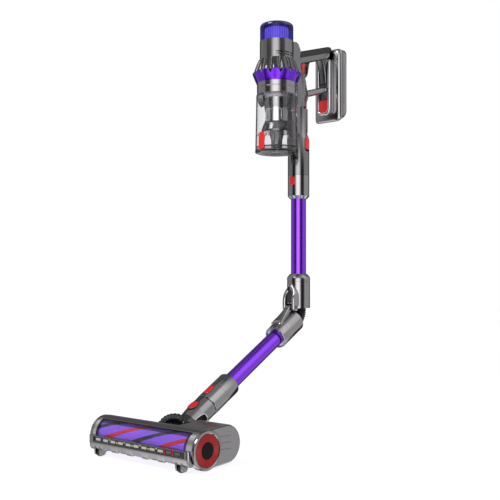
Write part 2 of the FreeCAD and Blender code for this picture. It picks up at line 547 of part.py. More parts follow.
def head_parts():
    py, pz = pivot()
    left = slab(capsule(ROLL_Y, ROLL_Z, SHELL_R, REAR_Y, REAR_Z, REAR_R), -130.6, 60.0)
    right = slab(capsule(ROLL_Y, ROLL_Z, SHELL_R, DRUM_Y, DRUM_Z, SHELL_R), 58.0, 133.6)
    right = rounded(right, 6.0, ends_of("X", (58.0,)))
    chamber = bar(CHAMBER_R, -150.0, 150.0, ROLL_Y, ROLL_Z)
    front_cut = box(-150, 150, -340, ROLL_Y + 6.0, -10, 100)
    mouth = box(-126.0, 126.0, -320, -262, -10, 14)
    well = joined(box(-31.0, 31.0, -256.0, -150.0, 22.0, 90.0), bar(18.5, -31.0, 31.0, py, pz))
    motor_room = bar(24.0, 66.0, 128.0, DRUM_Y, DRUM_Z)
    throat = box(-28.0, 28.0, -262.0, -250.0, 26.0, 60.0)
    cheek = [(py - 14, 20.0), (py + 10, 20.0), (py + 10, pz), (py + 6, pz + 9), (py - 6, pz + 9), (py - 14, pz)]
    cheeks = [slab(cheek, x0, x0 + 6.4) for x0 in (-30.8, 24.4)]
    body = joined(less(joined(left, right), chamber, front_cut, well, motor_room, mouth), *cheeks)
    body = less(body, throat, bar(SHAFT_R + 0.06, -40, 40, py, pz), bar(25.0, 127.0, 134.0, DRUM_Y, DRUM_Z))
    belt_room = slab(capsule(ROLL_Y, ROLL_Z, 15.0, DRUM_Y, DRUM_Z, 9.0), 127.0, 134.0)
    body = less(body, belt_room, *wheel_pockets(REAR_WHEELS))
    save("head_housing", body)
    arc = less(bar(SHELL_R, -130.4, 130.4, ROLL_Y, ROLL_Z), bar(CHAMBER_R, -150, 150, ROLL_Y, ROLL_Z))
    window = less(arc, box(-150, 150, ROLL_Y + 5.7, -200, -10, 100), box(-150, 150, -340, -240, -10, 30.5))
    save("head_window", window)


def end_caps():
    cap = bar(SHELL_R, 134.0, HEAD_HALF, ROLL_Y, ROLL_Z)
    cap = rounded(cap, 2.0, ends_of("X", (HEAD_HALF,)))
    rear = slab(capsule(ROLL_Y, ROLL_Z, SHELL_R - 1, DRUM_Y, DRUM_Z, SHELL_R - 1), 134.0, HEAD_HALF - 1.5)
    rear = rounded(rear, 4.0, ends_of("X", (HEAD_HALF - 1.5,)))
    save("side_cover", less(rear, bar(SHELL_R + 0.4, 130, 150, ROLL_Y, ROLL_Z)))
    ring_seat = less(bar(30.4, 137.0, 145.0, ROLL_Y, ROLL_Z), bar(15.2, 130.0, 150.0, ROLL_Y, ROLL_Z))
    save("end_cap_right", less(cap, ring_seat, bar(SHAFT_R + 0.05, 130, 145, ROLL_Y, ROLL_Z)))
    lock = less(bar(30.0, 137.2, 140.4, ROLL_Y, ROLL_Z), bar(15.6, 130.0, 150.0, ROLL_Y, ROLL_Z))
    save("roller_lock", rounded(lock, 0.8, ends_of("X", (140.4,))))
    left = bar(SHELL_R, -HEAD_HALF, -131.0, ROLL_Y, ROLL_Z)
    left = rounded(left, 2.0, ends_of("X", (-HEAD_HALF,)))
    save("end_cap_left", less(left, bar(SHAFT_R + 0.05, -145, -130, ROLL_Y, ROLL_Z)))


def roller_parts():
    nap = less(bar(NAP_R, -126.0, 126.0, ROLL_Y, ROLL_Z), bar(CORE_R + 0.1, -130, 130, ROLL_Y, ROLL_Z))
    save("roller_sleeve", nap)
    drum = less(bar(CORE_R, -126.0, 126.0, ROLL_Y, ROLL_Z),
                bar(CORE_R - CORE_WALL, -130.0, 118.0, ROLL_Y, ROLL_Z))
    core = [drum, bar(SHAFT_R, -138.0, 138.0, ROLL_Y, ROLL_Z),
            bar(12.0, 127.6, 132.6, ROLL_Y, ROLL_Z)]
    save("roller_core", joined(*core))
    motor = joined(bar(22.0, 70.0, 120.0, DRUM_Y, DRUM_Z), bar(8.0, 119.0, 123.0, DRUM_Y, DRUM_Z))
    save("roller_motor", less(motor, bar(2.1, 100.0, 130.0, DRUM_Y, DRUM_Z)))
    axle = bar(2.05, 104.0, 128.0, DRUM_Y, DRUM_Z)
    save("motor_pulley", joined(axle, bar(6.0, 127.6, 132.6, DRUM_Y, DRUM_Z)))
    belt = less(slab(capsule(ROLL_Y, ROLL_Z, 13.6, DRUM_Y, DRUM_Z, 7.6), 128.0, 132.2),
                slab(capsule(ROLL_Y, ROLL_Z, 12.2, DRUM_Y, DRUM_Z, 6.2), 127.0, 133.0))
    save("drive_belt", belt)


def wheel_pockets(wheels):
    half_x, y = wheels
    pockets = []
    for x in (-half_x, half_x):
        pockets.append(box(x - 4.6, x + 4.6, y - 7.2, y + 7.2, -1.0, 13.4))
        pockets.append(bar(1.6, x - 8.0, x + 8.0, y, WHEEL_R))
    return pockets


def wheel_pair(wheels):
    half_x, y = wheels
    pair = []
    for x in (-half_x, half_x):
        tread = rounded(bar(WHEEL_R, x - 4.0, x + 4.0, y, WHEEL_R), 1.4)
        pair.append(joined(tread, bar(1.54, x - 7.6, x + 7.6, y, WHEEL_R)))
    return Part.makeCompound(pair)


def underside_parts():
    outline = [(-327.4, 30.0), (-328.0, 38.0), (-324.4, 41.0), (-319.4, 40.0), (-319.4, 33.0), (-318.0, 12.0),
               (-310.0, 9.0), (-310.0, 6.0), (-320.0, 6.0), (-325.0, 14.0)]
    rail = slab(outline, -134.0, 134.0)
    for x in range(-84, 90, 42):
        rail = less(rail, rounded(box(x - 13.0, x + 13.0, -340.0, -300.0, 0.0, 13.0), 5.0,
                                  lambda edge: along(edge, Y_AXIS) and edge.CenterOfMass.z > 5))
    rail = less(rail, bar(CHAMBER_R + 1.6, -150, 150, ROLL_Y, ROLL_Z),
                box(-118.0, 122.0, -326.4, -318.0, 31.4, 38.4))
    pods = []
    for x in (-FRONT_WHEELS[0], FRONT_WHEELS[0]):
        pod = slab(capsule(FRONT_WHEELS[1], 7.0, 5.4, FRONT_WHEELS[1], 16.0, 6.4), x - 9.0, x + 9.0)
        pods.append(rounded(pod, 1.5, ends_of("X", (x - 9.0, x + 9.0))))
    rail = less(joined(rail, *pods), bar(CHAMBER_R + 1.6, -150, 150, ROLL_Y, ROLL_Z))
    save("front_bar", less(rail, *wheel_pockets(FRONT_WHEELS)))
    save("front_wheels", wheel_pair(FRONT_WHEELS))
    save("rear_wheels", wheel_pair(REAR_WHEELS))
    save("light_strip", less(box(-117.6, 121.6, -325.4, -320.8, 31.8, 38.0),
                             bar(CHAMBER_R + 1.8, -150, 150, ROLL_Y, ROLL_Z)))


def build():
    os.makedirs("parts", exist_ok=True)
    filter_parts()
    motor_parts()
    cyclone_parts()
    bin_parts()
    spine_parts()
    handle_parts()
    wand_parts()
    lower_wand_parts()
    save("elbow_hose", elbow_hose())
    neck_parts()
    head_parts()
    end_caps()
    roller_parts()
    underside_parts()


build()
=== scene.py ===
"""Looks of a cordless stick vacuum with a folding wand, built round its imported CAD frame.

Metres, in the CAD frame: X across the cleaner head, -Y forwards, +Z up, floor at z = 0.
Pieces below the elbow are drawn on the straight wand and then folded with FOLD.
"""

import json
import math
import random

import bmesh
import bpy
from mathutils import Matrix, Vector

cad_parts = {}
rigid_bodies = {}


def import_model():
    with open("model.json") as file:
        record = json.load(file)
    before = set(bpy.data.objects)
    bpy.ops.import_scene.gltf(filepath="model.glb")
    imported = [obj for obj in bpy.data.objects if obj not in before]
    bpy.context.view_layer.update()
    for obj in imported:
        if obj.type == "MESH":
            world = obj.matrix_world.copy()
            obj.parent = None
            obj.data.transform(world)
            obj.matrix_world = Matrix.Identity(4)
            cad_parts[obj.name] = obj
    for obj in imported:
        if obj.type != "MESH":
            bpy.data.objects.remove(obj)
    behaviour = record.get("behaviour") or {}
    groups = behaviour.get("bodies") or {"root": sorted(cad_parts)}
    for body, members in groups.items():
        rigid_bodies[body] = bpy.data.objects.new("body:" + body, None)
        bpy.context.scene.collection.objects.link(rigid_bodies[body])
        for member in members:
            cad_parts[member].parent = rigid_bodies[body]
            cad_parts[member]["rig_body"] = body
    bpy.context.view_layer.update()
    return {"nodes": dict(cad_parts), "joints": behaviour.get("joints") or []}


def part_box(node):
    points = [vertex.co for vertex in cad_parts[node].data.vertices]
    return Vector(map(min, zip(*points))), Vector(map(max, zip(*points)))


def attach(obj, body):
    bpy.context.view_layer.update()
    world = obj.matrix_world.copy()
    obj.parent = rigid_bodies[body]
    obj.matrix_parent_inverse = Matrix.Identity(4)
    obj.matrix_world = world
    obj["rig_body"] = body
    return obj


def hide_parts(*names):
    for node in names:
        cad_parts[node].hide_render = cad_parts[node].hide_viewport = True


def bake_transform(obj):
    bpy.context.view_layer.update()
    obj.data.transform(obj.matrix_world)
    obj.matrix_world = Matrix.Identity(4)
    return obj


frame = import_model()
NODES = frame["nodes"]
JOINTS = {joint["name"]: joint for joint in frame["joints"]}
MM = 0.001
TURN = 2 * math.pi


# ---- places, read from the frame ----
def middle(node):
    low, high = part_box(node)
    return (low + high) / 2


WAND_Y = middle("upper_tube").y
PIN = Vector(JOINTS["elbow_fold"]["pos_m"])
BEND = math.radians(JOINTS["elbow_fold"]["range_deg"][1])
PIVOT = Vector(JOINTS["neck_tilt"]["pos_m"])
ROLLER = Vector(JOINTS["roller_spin"]["pos_m"])
FOLD = Matrix.Translation(PIN) @ Matrix.Rotation(-BEND, 4, "X") @ Matrix.Translation(-PIN)
# The same places in millimetres, for the shapes.
AXIS = WAND_Y / MM
UNIT = middle("motor_housing").y / MM
PIN_Y, PIN_Z = PIN.y / MM, PIN.z / MM
NECK_Y, NECK_Z = PIVOT.y / MM, PIVOT.z / MM
ROLL_Y, ROLL_Z = ROLLER.y / MM, ROLLER.z / MM


# ---- materials ----
def new_material(name):
    material = bpy.data.materials.new(name)
    material.use_nodes = True
    tree = material.node_tree
    shader = tree.nodes["Principled BSDF"]
    return material, tree, shader


def node(tree, kind, **values):
    made = tree.nodes.new(kind)
    for key, value in values.items():
        setattr(made, key, value)
    return made


def coordinates(tree, scale=(1, 1, 1)):
    """Object coordinates in metres, scaled."""
    source = node(tree, "ShaderNodeTexCoord")
    mapping = node(tree, "ShaderNodeMapping")
    mapping.inputs["Scale"].default_value = scale
    tree.links.new(source.outputs["Object"], mapping.inputs["Vector"])
    return mapping.outputs["Vector"]


def noise_map(tree, vector, scale, detail=3.0):
    made = node(tree, "ShaderNodeTexNoise")
    made.inputs["Scale"].default_value = scale
    made.inputs["Detail"].default_value = detail
    tree.links.new(vector, made.inputs["Vector"])
    return made.outputs["Fac"]


def ramp(tree, factor, stops):
    """Colour ramp through (position, colour) stops."""
    made = node(tree, "ShaderNodeValToRGB")
    elements = made.color_ramp.elements
    while len(elements) < len(stops):
        elements.new(0.5)
    for element, (position, colour) in zip(elements, stops):
        element.position = position
        element.color = (*colour, 1)
    tree.links.new(factor, made.inputs["Fac"])
    return made.outputs["Color"]


def spread(tree, factor, low, high):
    """Map a 0..1 factor to low..high."""
    made = node(tree, "ShaderNodeMapRange")
    made.inputs["To Min"].default_value = low
    made.inputs["To Max"].default_value = high
    tree.links.new(factor, made.inputs["Value"])
    return made.outputs["Result"]


def share_of(tree, value, low, high, kind="LINEAR"):
    """Map low..high to a 0..1 factor."""
    made = node(tree, "ShaderNodeMapRange", interpolation_type=kind)
    made.inputs["From Min"].default_value = low
    made.inputs["From Max"].default_value = high
    tree.links.new(value, made.inputs["Value"])
    return made.outputs["Result"]


def feed(tree, value, socket):
    """Give a socket another node's output, or a constant."""
    if isinstance(value, bpy.types.NodeSocket):
        tree.links.new(value, socket)
    else:
        socket.default_value = value


def calculate(tree, kind, *values):
    """Result of a math node on numbers or other nodes' outputs."""
    made = node(tree, "ShaderNodeMath", operation=kind)
    for socket, value in zip(made.inputs, values):
        feed(tree, value, socket)
    return made.outputs["Value"]


def mix(tree, factor, first, second, blend="MIX"):
    made = node(tree, "ShaderNodeMix", data_type="RGBA", blend_type=blend)
    for name, value in (("Factor", factor), ("A", first), ("B", second)):
        feed(tree, value, made.inputs[name])
    return made.outputs["Result"]


def bump(tree, shader, height, strength, distance):
    made = node(tree, "ShaderNodeBump")
    made.inputs["Strength"].default_value = strength
    made.inputs["Distance"].default_value = distance
    tree.links.new(height, made.inputs["Height"])
    tree.links.new(made.outputs["Normal"], shader.inputs["Normal"])


def plastic(name, colour, roughness=0.3, metallic=0.0, coat=0.0, flake=0.06, grain=900.0, ior=1.46):
    """Moulded or lacquered plastic: slight colour and gloss variation and a fine grain."""
    material, tree, shader = new_material(name)
    vector = coordinates(tree)
    patch = noise_map(tree, vector, 14.0)
    dark = tuple(channel * (1 - flake) for channel in colour)
    light = tuple(min(1.0, channel * (1 + flake)) for channel in colour)
    tree.links.new(ramp(tree, patch, [(0.3, dark), (0.7, light)]), shader.inputs["Base Color"])
    fine = noise_map(tree, vector, grain, 2.0)
    tree.links.new(spread(tree, fine, roughness * 0.85, roughness * 1.15), shader.inputs["Roughness"])
    bump(tree, shader, fine, 0.06, 0.0002)
    shader.inputs["Metallic"].default_value = metallic
    shader.inputs["Coat Weight"].default_value = coat
    shader.inputs["Coat Roughness"].default_value = 0.08
    shader.inputs["IOR"].default_value = ior
    return material


def clear(name, colour, roughness, ior=1.3):
    """See-through moulding."""
    material, tree, shader = new_material(name)
    vector = coordinates(tree)
    haze = noise_map(tree, vector, 60.0)
    tree.links.new(spread(tree, haze, roughness, roughness * 2.0), shader.inputs["Roughness"])
    shader.inputs["Base Color"].default_value = (*colour, 1)
    shader.inputs["Transmission Weight"].default_value = 1.0
    shader.inputs["IOR"].default_value = ior
    return material


# ---- mesh helpers, in millimetres ----
MILLI = Matrix.Scale(MM, 4)
TIP = 0.01      # radius where a turned profile meets its axis


def cos_sin(angle):
    """Cosine and sine of an angle in degrees."""
    return math.cos(math.radians(angle)), math.sin(math.radians(angle))


def add_object(name, data):
    made = bpy.data.objects.new(name, data)
    bpy.context.scene.collection.objects.link(made)
    return made


def merge(*shapes):
    """Several closed shapes as one."""
    verts, faces = [], []
    for points, skins in shapes:
        faces += [tuple(index + len(verts) for index in skin) for skin in skins]
        verts += list(points)
    return verts, faces


def smooth(piece, angle):
    """Smooth shading, with edges sharper than angle left crisp."""
    piece.data.polygons.foreach_set("use_smooth", [True] * len(piece.data.polygons))
    piece.data.set_sharp_from_angle(angle=math.radians(angle))


def bevel(piece, width):
    """Round a piece's sharp edges by width millimetres."""
    made = piece.modifiers.new("bevel", "BEVEL")
    made.width = width * MM
    made.segments = 3
    made.limit_method = "ANGLE"
    made.angle_limit = math.radians(40.0)
    made.use_clamp_overlap = True
    normals = piece.modifiers.new("normals", "WEIGHTED_NORMAL")
    normals.keep_sharp = False


def show(name, parts, body, replaces=(), fold=False, angle=35.0, round_by=0.0):
    """Make a piece from (shape, material) parts and hang it on its body."""
    parts = parts if isinstance(parts, list) else [parts]
    place = FOLD @ MILLI if fold else MILLI
    verts, faces = merge(*[shape for shape, _ in parts])
    mesh = bpy.data.meshes.new(name)
    mesh.from_pydata([place @ Vector(point) for point in verts], [], faces)
    skins = []
    for (_, part_faces), material in parts:
        if material.name not in mesh.materials:
            mesh.materials.append(material)
        skins += [mesh.materials.find(material.name)] * len(part_faces)
    mesh.polygons.foreach_set("material_index", skins)
    tidy = bmesh.new()
    tidy.from_mesh(mesh)
    bmesh.ops.recalc_face_normals(tidy, faces=tidy.faces)
    tidy.to_mesh(mesh)
    tidy.free()
    piece = add_object(name, mesh)
    smooth(piece, angle)
    if round_by:
        bevel(piece, round_by)
    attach(piece, body)
    if replaces:
        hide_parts(*replaces)
    return piece


def skin(rows, count, loop=False):
    """Faces over rows of count points: a closed tube, or a ring of rows when loop is set."""
    faces = []
    for row in range(rows if loop else rows - 1):
        after = (row + 1) % rows
        for step in range(count):
            turn = (step + 1) % count
            faces.append((row * count + step, row * count + turn,
                          after * count + turn, after * count + step))
    if not loop:
        faces.append(tuple(range(count)))
        faces.append(tuple(reversed(range((rows - 1) * count, rows * count))))
    return faces


def lathe(profile, y, x=0.0, steps=144):
    """Closed (radius, z) profile turned about an upright axis."""
    turns = [TURN * step / steps for step in range(steps)]
    verts = [(x + radius * math.cos(turn), y + radius * math.sin(turn), z)
             for radius, z in profile for turn in turns]
    return verts, skin(len(profile), steps, loop=True)


def axle(profile, y, z, steps=144):
    """Closed (radius, x) profile turned about an axis along X."""
    turns = [TURN * step / steps for step in range(steps)]
    verts = [(x, y - radius * math.cos(turn), z + radius * math.sin(turn))
             for radius, x in profile for turn in turns]
    return verts, skin(len(profile), steps, loop=True)


def loft(rings):
    """Closed skin over rings of points."""
    return [point for ring in rings for point in ring], skin(len(rings), len(rings[0]))


def fillet(corners, radius, steps=5):
    """Outline with rounded corners; a corner may carry its own radius as a third value."""
    outline = []
    for index, corner in enumerate(corners):
        here = Vector(corner[:2])
        before = Vector(corners[index - 1][:2])
        after = Vector(corners[(index + 1) % len(corners)][:2])
        size = corner[2] if len(corner) > 2 else radius
        size = min(size, (before - here).length * 0.48, (after - here).length * 0.48)
        start = here + (before - here).normalized() * size
        end = here + (after - here).normalized() * size
        for step in range(steps + 1):
            share = step / steps
            point = start * (1 - share) ** 2 + here * 2 * share * (1 - share) + end * share ** 2
            outline.append((point.x, point.y))
    return outline


def prism(outline, x0, x1):
    """(y, z) outline drawn out along X."""
    return loft([[(x, y, z) for y, z in outline] for x in (x0, x1)])


def slab_y(outline, y0, y1):
    """(x, z) outline drawn out along Y."""
    return loft([[(x, y, z) for x, z in outline] for y in (y0, y1)])


def box(x0, x1, y0, y1, z0, z1, radius=0.0):
    """Block; radius rounds its four edges along Y."""
    corners = [(x0, z0), (x1, z0), (x1, z1), (x0, z1)]
    return slab_y(fillet(corners, radius) if radius else corners, y0, y1)


def polar(radius, angle, z):
    """Point at an angle in degrees round the main unit's axis."""
    c, s = cos_sin(angle)
    return (radius * c, UNIT + radius * s, z)


def ripple(share, waves):
    """0 at both ends of 0..1 and at each trough, 1 at each crest of the given number of waves."""
    return 0.5 - 0.5 * math.cos(TURN * waves * share)


def around(radius, angle, x=0.0, centre=(ROLL_Y, ROLL_Z)):
    """Point at an angle above the front of an axis along X."""
    c, s = cos_sin(angle)
    return (x, centre[0] - radius * c, centre[1] + radius * s)


def arc_plate(r0, r1, a0, a1, x0, x1, steps=40):
    """Curved plate round the roller, from angle a0 to a1."""
    angles = [a0 + (a1 - a0) * step / steps for step in range(steps + 1)]
    corners = ((r0, x0), (r1, x0), (r1, x1), (r0, x1))
    return loft([[around(radius, angle, x) for radius, x in corners] for angle in angles])


def sweep(path, ring, side=(1, 0, 0)):
    """Closed skin along a path: ring is (across, up) pairs, or gives them at a share of the path."""
    path = [Vector(point) for point in path]
    rings = []
    for step, point in enumerate(path):
        heading = (path[min(len(path) - 1, step + 1)] - path[max(0, step - 1)]).normalized()
        across = (Vector(side) - heading * Vector(side).dot(heading)).normalized()
        up = heading.cross(across)
        pairs = ring(step / (len(path) - 1)) if callable(ring) else ring
        rings.append([tuple(point + across * a + up * b) for a, b in pairs])
    return loft(rings)


def oval(half_a, half_b, power=2.0, count=48):
    """Superellipse as (a, b) pairs: power 2 is an ellipse, and more is boxier."""
    ring = []
    for step in range(count):
        c, s = math.cos(TURN * step / count), math.sin(TURN * step / count)
        ring.append((half_a * math.copysign(abs(c) ** (2 / power), c),
                     half_b * math.copysign(abs(s) ** (2 / power), s)))
    return ring


def spline(points, count):
    """Points along a Catmull-Rom curve."""
    points = [Vector(point) for point in points]
    points = [2 * points[0] - points[1], *points, 2 * points[-1] - points[-2]]
    made = []
    for step in range(count + 1):
        place = step / count * (len(points) - 3)
        index = min(int(place), len(points) - 4)
        t = place - index
        a, b, c, d = points[index:index + 4]
        made.append(0.5 * (2 * b + (c - a) * t + (2 * a - 5 * b + 4 * c - d) * t * t
                           + (3 * b - a - 3 * c + d) * t ** 3))
    return made


# ---- finishes ----
NICKEL = plastic("nickel_lacquer", (0.335, 0.325, 0.332), 0.16, metallic=1.0, coat=0.2, flake=0.03)
# Painted shade: a darker copy of the nickel lacquer for the motor housing, the spine and the grip's
# underside, which sit in shadow.
NICKEL_PAINTED_SHADE = plastic("painted_shade_nickel_lacquer", (0.235, 0.228, 0.234), 0.17, metallic=1.0, coat=0.2,
                       flake=0.03)
NICKEL_DARK = plastic("dark_nickel_lacquer", (0.13, 0.126, 0.13), 0.2, metallic=0.8, coat=0.3, flake=0.03)
CHROME = plastic("bright_nickel", (0.72, 0.71, 0.72), 0.12, metallic=1.0, flake=0.02)
POLISHED = plastic("polished_nickel", (0.27, 0.263, 0.27), 0.07, metallic=1.0, flake=0.02)
DARK = plastic("smoked_plastic", (0.022, 0.022, 0.025), 0.16, coat=0.5)
GREY = plastic("grey_plastic", (0.11, 0.108, 0.112), 0.3, coat=0.2)
VIOLET = plastic("violet_lacquer", (0.17, 0.012, 0.78), 0.13, metallic=0.9, coat=0.5, flake=0.03)
ANODISED = plastic("violet_anodised", (0.26, 0.055, 0.85), 0.2, metallic=0.9, coat=0.2, flake=0.02)
RED = plastic("red_plastic", (0.75, 0.012, 0.016), 0.24, coat=0.5)
DEEP_RED = plastic("deep_red_plastic", (0.3, 0.008, 0.014), 0.3, coat=0.3)
SOFT = plastic("soft_touch", (0.014, 0.014, 0.015), 0.45, grain=2500.0)
RUBBER = plastic("rubber", (0.012, 0.012, 0.013), 0.5)
GLOSSY_RUBBER = plastic("glossy_rubber", (0.008, 0.008, 0.009), 0.2, coat=0.4)
MATT = plastic("matt_black", (0.006, 0.006, 0.006), 0.6, ior=1.25)
STEEL = plastic("brushed_steel", (0.6, 0.6, 0.6), 0.25, metallic=1.0)
CELL = plastic("cell_sleeve", (0.02, 0.1, 0.05), 0.35)
BOARD = plastic("circuit_board", (0.01, 0.08, 0.03), 0.4)
RED_TEXTURED = plastic("red_textured", (0.4, 0.006, 0.008), 0.45, coat=0.05, grain=1400.0)
WHITE_PAD = plastic("light_pad", (0.5, 0.5, 0.48), 0.3)
YELLOW = plastic("yellow_diode", (0.9, 0.75, 0.02), 0.3)
SMOKY_GLOSS = plastic("smoky_gloss", (0.045, 0.043, 0.046), 0.1, metallic=0.55, coat=1.0)
NAVY = plastic("navy_gloss", (0.012, 0.01, 0.09), 0.12, coat=0.6)
CLEAR = clear("clear_moulding", (0.9, 0.905, 0.915), 0.01, ior=1.3)
SMOKED = clear("smoked_moulding", (0.5, 0.48, 0.5), 0.03, ior=1.3)
LENS = clear("lens_moulding", (0.98, 0.98, 0.99), 0.005, ior=1.15)
TINTED = clear("blue_violet_shell", (0.12, 0.085, 0.5), 0.02, ior=1.25)
PLEATS = plastic("pleated_paper", (0.9, 0.88, 1.0), 0.6)
# Painted glow: the pleats emit light of their own, which stands in for light let through the tinted shell.
painted_glow = PLEATS.node_tree.nodes["Principled BSDF"].inputs     # light that the tinted shell would let in
painted_glow["Emission Color"].default_value = (0.9, 0.88, 1, 1)
painted_glow["Emission Strength"].default_value = 0.7

FINISH = (
    # painted shade: the darker nickel copy on the motor housing
    (NICKEL_PAINTED_SHADE, "motor_housing"),
    (STEEL, "motor_stator elbow_pin impeller lid_hinge_pin roller_motor motor_pulley"),
    (DARK, "cyclone_cones elbow_latch neck_yoke light_strip"),
    (VIOLET, "cyclone_ring"),
    (NICKEL, "cyclone_collar shroud_frame spine_casing grip_frame strut handle_foot "
             "wand_collar_top elbow_upper battery_case elbow_lower wand_collar_low head_housing "
             "end_cap_left end_cap_right side_cover front_bar"),
    (CHROME, "shroud_mesh"),
    (NICKEL_DARK, "shroud_skirt core_tube inlet_duct"),
    (DEEP_RED, "trim_strip"),
    (SOFT, "grip_cover"),
    (BOARD, "circuit_board"),
    (ANODISED, "upper_tube lower_tube"),
    (RUBBER, "elbow_hose lid_seal drive_belt neck_hose roller_sleeve front_wheels rear_wheels"),
    (TINTED, "filter_cap"),
    (PLEATS, "filter_pleats"),
    (RED, "trigger lid_latch bin_release battery_button wand_button_top wand_button_low "
          "neck_button roller_lock roller_core"),
    (CLEAR, "bin"),
    (SMOKED, "lid"),
    (CELL, "battery_cells"),
    (POLISHED, "neck_pipe"),
    (LENS, "head_window"),
)
for material, names in FINISH:
    for name in names.split():
        NODES[name].data.materials.clear()
        NODES[name].data.materials.append(material)


# ---- head ----
STRIPE_EVERY = 150.0      # red to red, along the roller
STRIPE_PITCH = 600.0      # one turn of a stripe
STRIPE_START = 108.2      # places the stripes along the roller
STRIPE_WIDE = 0.145       # share of the spacing


def stripe_phase(x, turn):
    """0..1 along the roller between two red stripes, turn in radians above the front."""
    return ((x - STRIPE_PITCH * turn / TURN + STRIPE_START) / STRIPE_EVERY) % 1.0


def roller_nap():
    """Pile sleeve: stripes stand proud of fine wound ridges, with seeded roughness."""
    columns, steps = 176, 180
    rng = random.Random(7)
    verts = []
    for column in range(columns + 1):
        x = -125.5 + 251.0 * column / columns
        edge = min(1.0, (column + 0.4) / 3, (columns - column + 0.4) / 3)
        for step in range(steps):
            turn = TURN * step / steps
            phase = stripe_phase(x, turn) % 0.5
            raised = 0.45 if phase < STRIPE_WIDE else 0.0
            ridge = 0.22 * math.sin(TURN * phase * 20)
            radius = 32.2 + 1.0 * edge + raised + ridge * 0.35 + rng.uniform(-0.1, 0.1)
            verts.append(around(radius, math.degrees(turn), x))
    return verts, skin(columns + 1, steps)


def nap_material():
    """Violet pile with red and charcoal stripes wound round it."""
    material, tree, shader = new_material("striped_nap")
    vector = coordinates(tree)
    parts = node(tree, "ShaderNodeSeparateXYZ")
    tree.links.new(vector, parts.inputs["Vector"])
    up = calculate(tree, "SUBTRACT", parts.outputs["Z"], ROLLER.z)
    front = calculate(tree, "SUBTRACT", ROLLER.y, parts.outputs["Y"])
    turn = calculate(tree, "ARCTAN2", up, front)
    shift = calculate(tree, "MULTIPLY", turn, STRIPE_PITCH * MM / TURN)
    along = calculate(tree, "SUBTRACT", parts.outputs["X"], shift)
    place = calculate(tree, "ADD", along, STRIPE_START * MM)
    share = calculate(tree, "FRACT", calculate(tree, "DIVIDE", place, STRIPE_EVERY * MM))
    violet, red, charcoal = (0.23, 0.09, 0.74), (0.5, 0.012, 0.02), (0.03, 0.028, 0.03)
    wide = STRIPE_WIDE
    stops = [(0.0, red), (wide, red), (wide + 0.006, violet), (0.496, violet), (0.502, charcoal),
             (0.5 + wide, charcoal), (0.506 + wide, violet), (0.994, violet), (1.0, red)]
    shade = noise_map(tree, vector, 500.0)
    mottle = ramp(tree, shade, [(0.3, (0.72, 0.72, 0.72)), (0.7, (1.15, 1.15, 1.15))])
    colour = mix(tree, 1.0, ramp(tree, share, stops), mottle, "MULTIPLY")
    tree.links.new(colour, shader.inputs["Base Color"])
    shader.inputs["Roughness"].default_value = 0.75
    shader.inputs["Sheen Weight"].default_value = 0.4
    shader.inputs["Sheen Roughness"].default_value = 0.4
    bump(tree, shader, shade, 0.5, 0.0006)
    return material


show("roller_nap", (roller_nap(), nap_material()), "roller", ["roller_sleeve"], angle=60)

LEFT, RIGHT = -131.0, 133.8     # ends of the frame round the window, along the roller
band = [(arc_plate(35.9, 36.5, 64.0, 103.0, LEFT, RIGHT), NICKEL),
        (arc_plate(36.2, 36.9, 62.0, 65.0, LEFT, RIGHT, 6), CHROME),
        (arc_plate(36.02, 36.6, 6.0, 64.0, 121.0, RIGHT), CHROME),
        (arc_plate(36.02, 36.5, 6.0, 64.0, LEFT, -123.0), CHROME),
        (arc_plate(34.6, 35.9, -82.0, 9.0, 126.4, RIGHT), NICKEL),
        (arc_plate(34.6, 35.9, -82.0, 9.0, LEFT, -126.4), NICKEL)]
show("window_frame", band, "head", angle=30)
# Painted shade: smoked strips just under the top and the ends of the window dim the roller where the window
# lies in shade.
show("window_painted_shade", [(arc_plate(35.0, 35.25, 47.0, 66.0, -123.0, 121.0), SMOKED),
                      (arc_plate(34.7, 35.25, 6.0, 66.0, -128.0, -117.0), SMOKED),
                      (arc_plate(34.7, 35.25, 6.0, 66.0, 114.0, 128.0), SMOKED)], "head")


def knurled_ring():
    """Lock ring with fine raised squares on its face."""
    rings = [(29.8, 137.2), (29.9, 139.4), (29.4, 140.2)]
    radius = 28.9
    while radius > 17.2:
        rings += [(radius, 140.15), (radius - 0.35, 140.55), (radius - 0.75, 140.55),
                  (radius - 1.1, 140.15)]
        radius -= 1.3
    rings += [(16.3, 140.2), (15.7, 139.6), (15.7, 137.2)]
    return axle(rings, ROLL_Y, ROLL_Z, 160)


show("roller_lock_ring", (knurled_ring(), RED_TEXTURED), "roller_lock", ["roller_lock"], angle=25)
hub = axle([(TIP, 138.6), (4.2, 138.6), (4.2, 134.2), (15.2, 134.2), (15.2, 139.8), (14.4, 140.7),
            (TIP, 140.9)], ROLL_Y, ROLL_Z, 96)
rim = axle([(36.0, 134.0), (36.0, 139.0), (35.2, 140.5), (33.8, 141.0), (31.6, 141.0), (30.4, 140.2),
            (30.4, 136.9), (15.2, 136.9), (15.2, 134.0)], ROLL_Y, ROLL_Z, 180)
show("end_cap_right_rim", [(rim, NICKEL), (hub, MATT)], "head", ["end_cap_right"], angle=30)

lines = []
for rear_z, front_z in ((55.7, 57.4), (44.1, 45.2), (31.9, 33.8)):
    path = [(139.5, y, front_z + (rear_z - front_z) * (y + 251.0) / 30.0) for y in range(-251, -220, 3)]
    lines.append((sweep(path, oval(0.45, 0.4, 2.0, 10)), DARK))
show("side_cover_lines", lines, "head", angle=40)


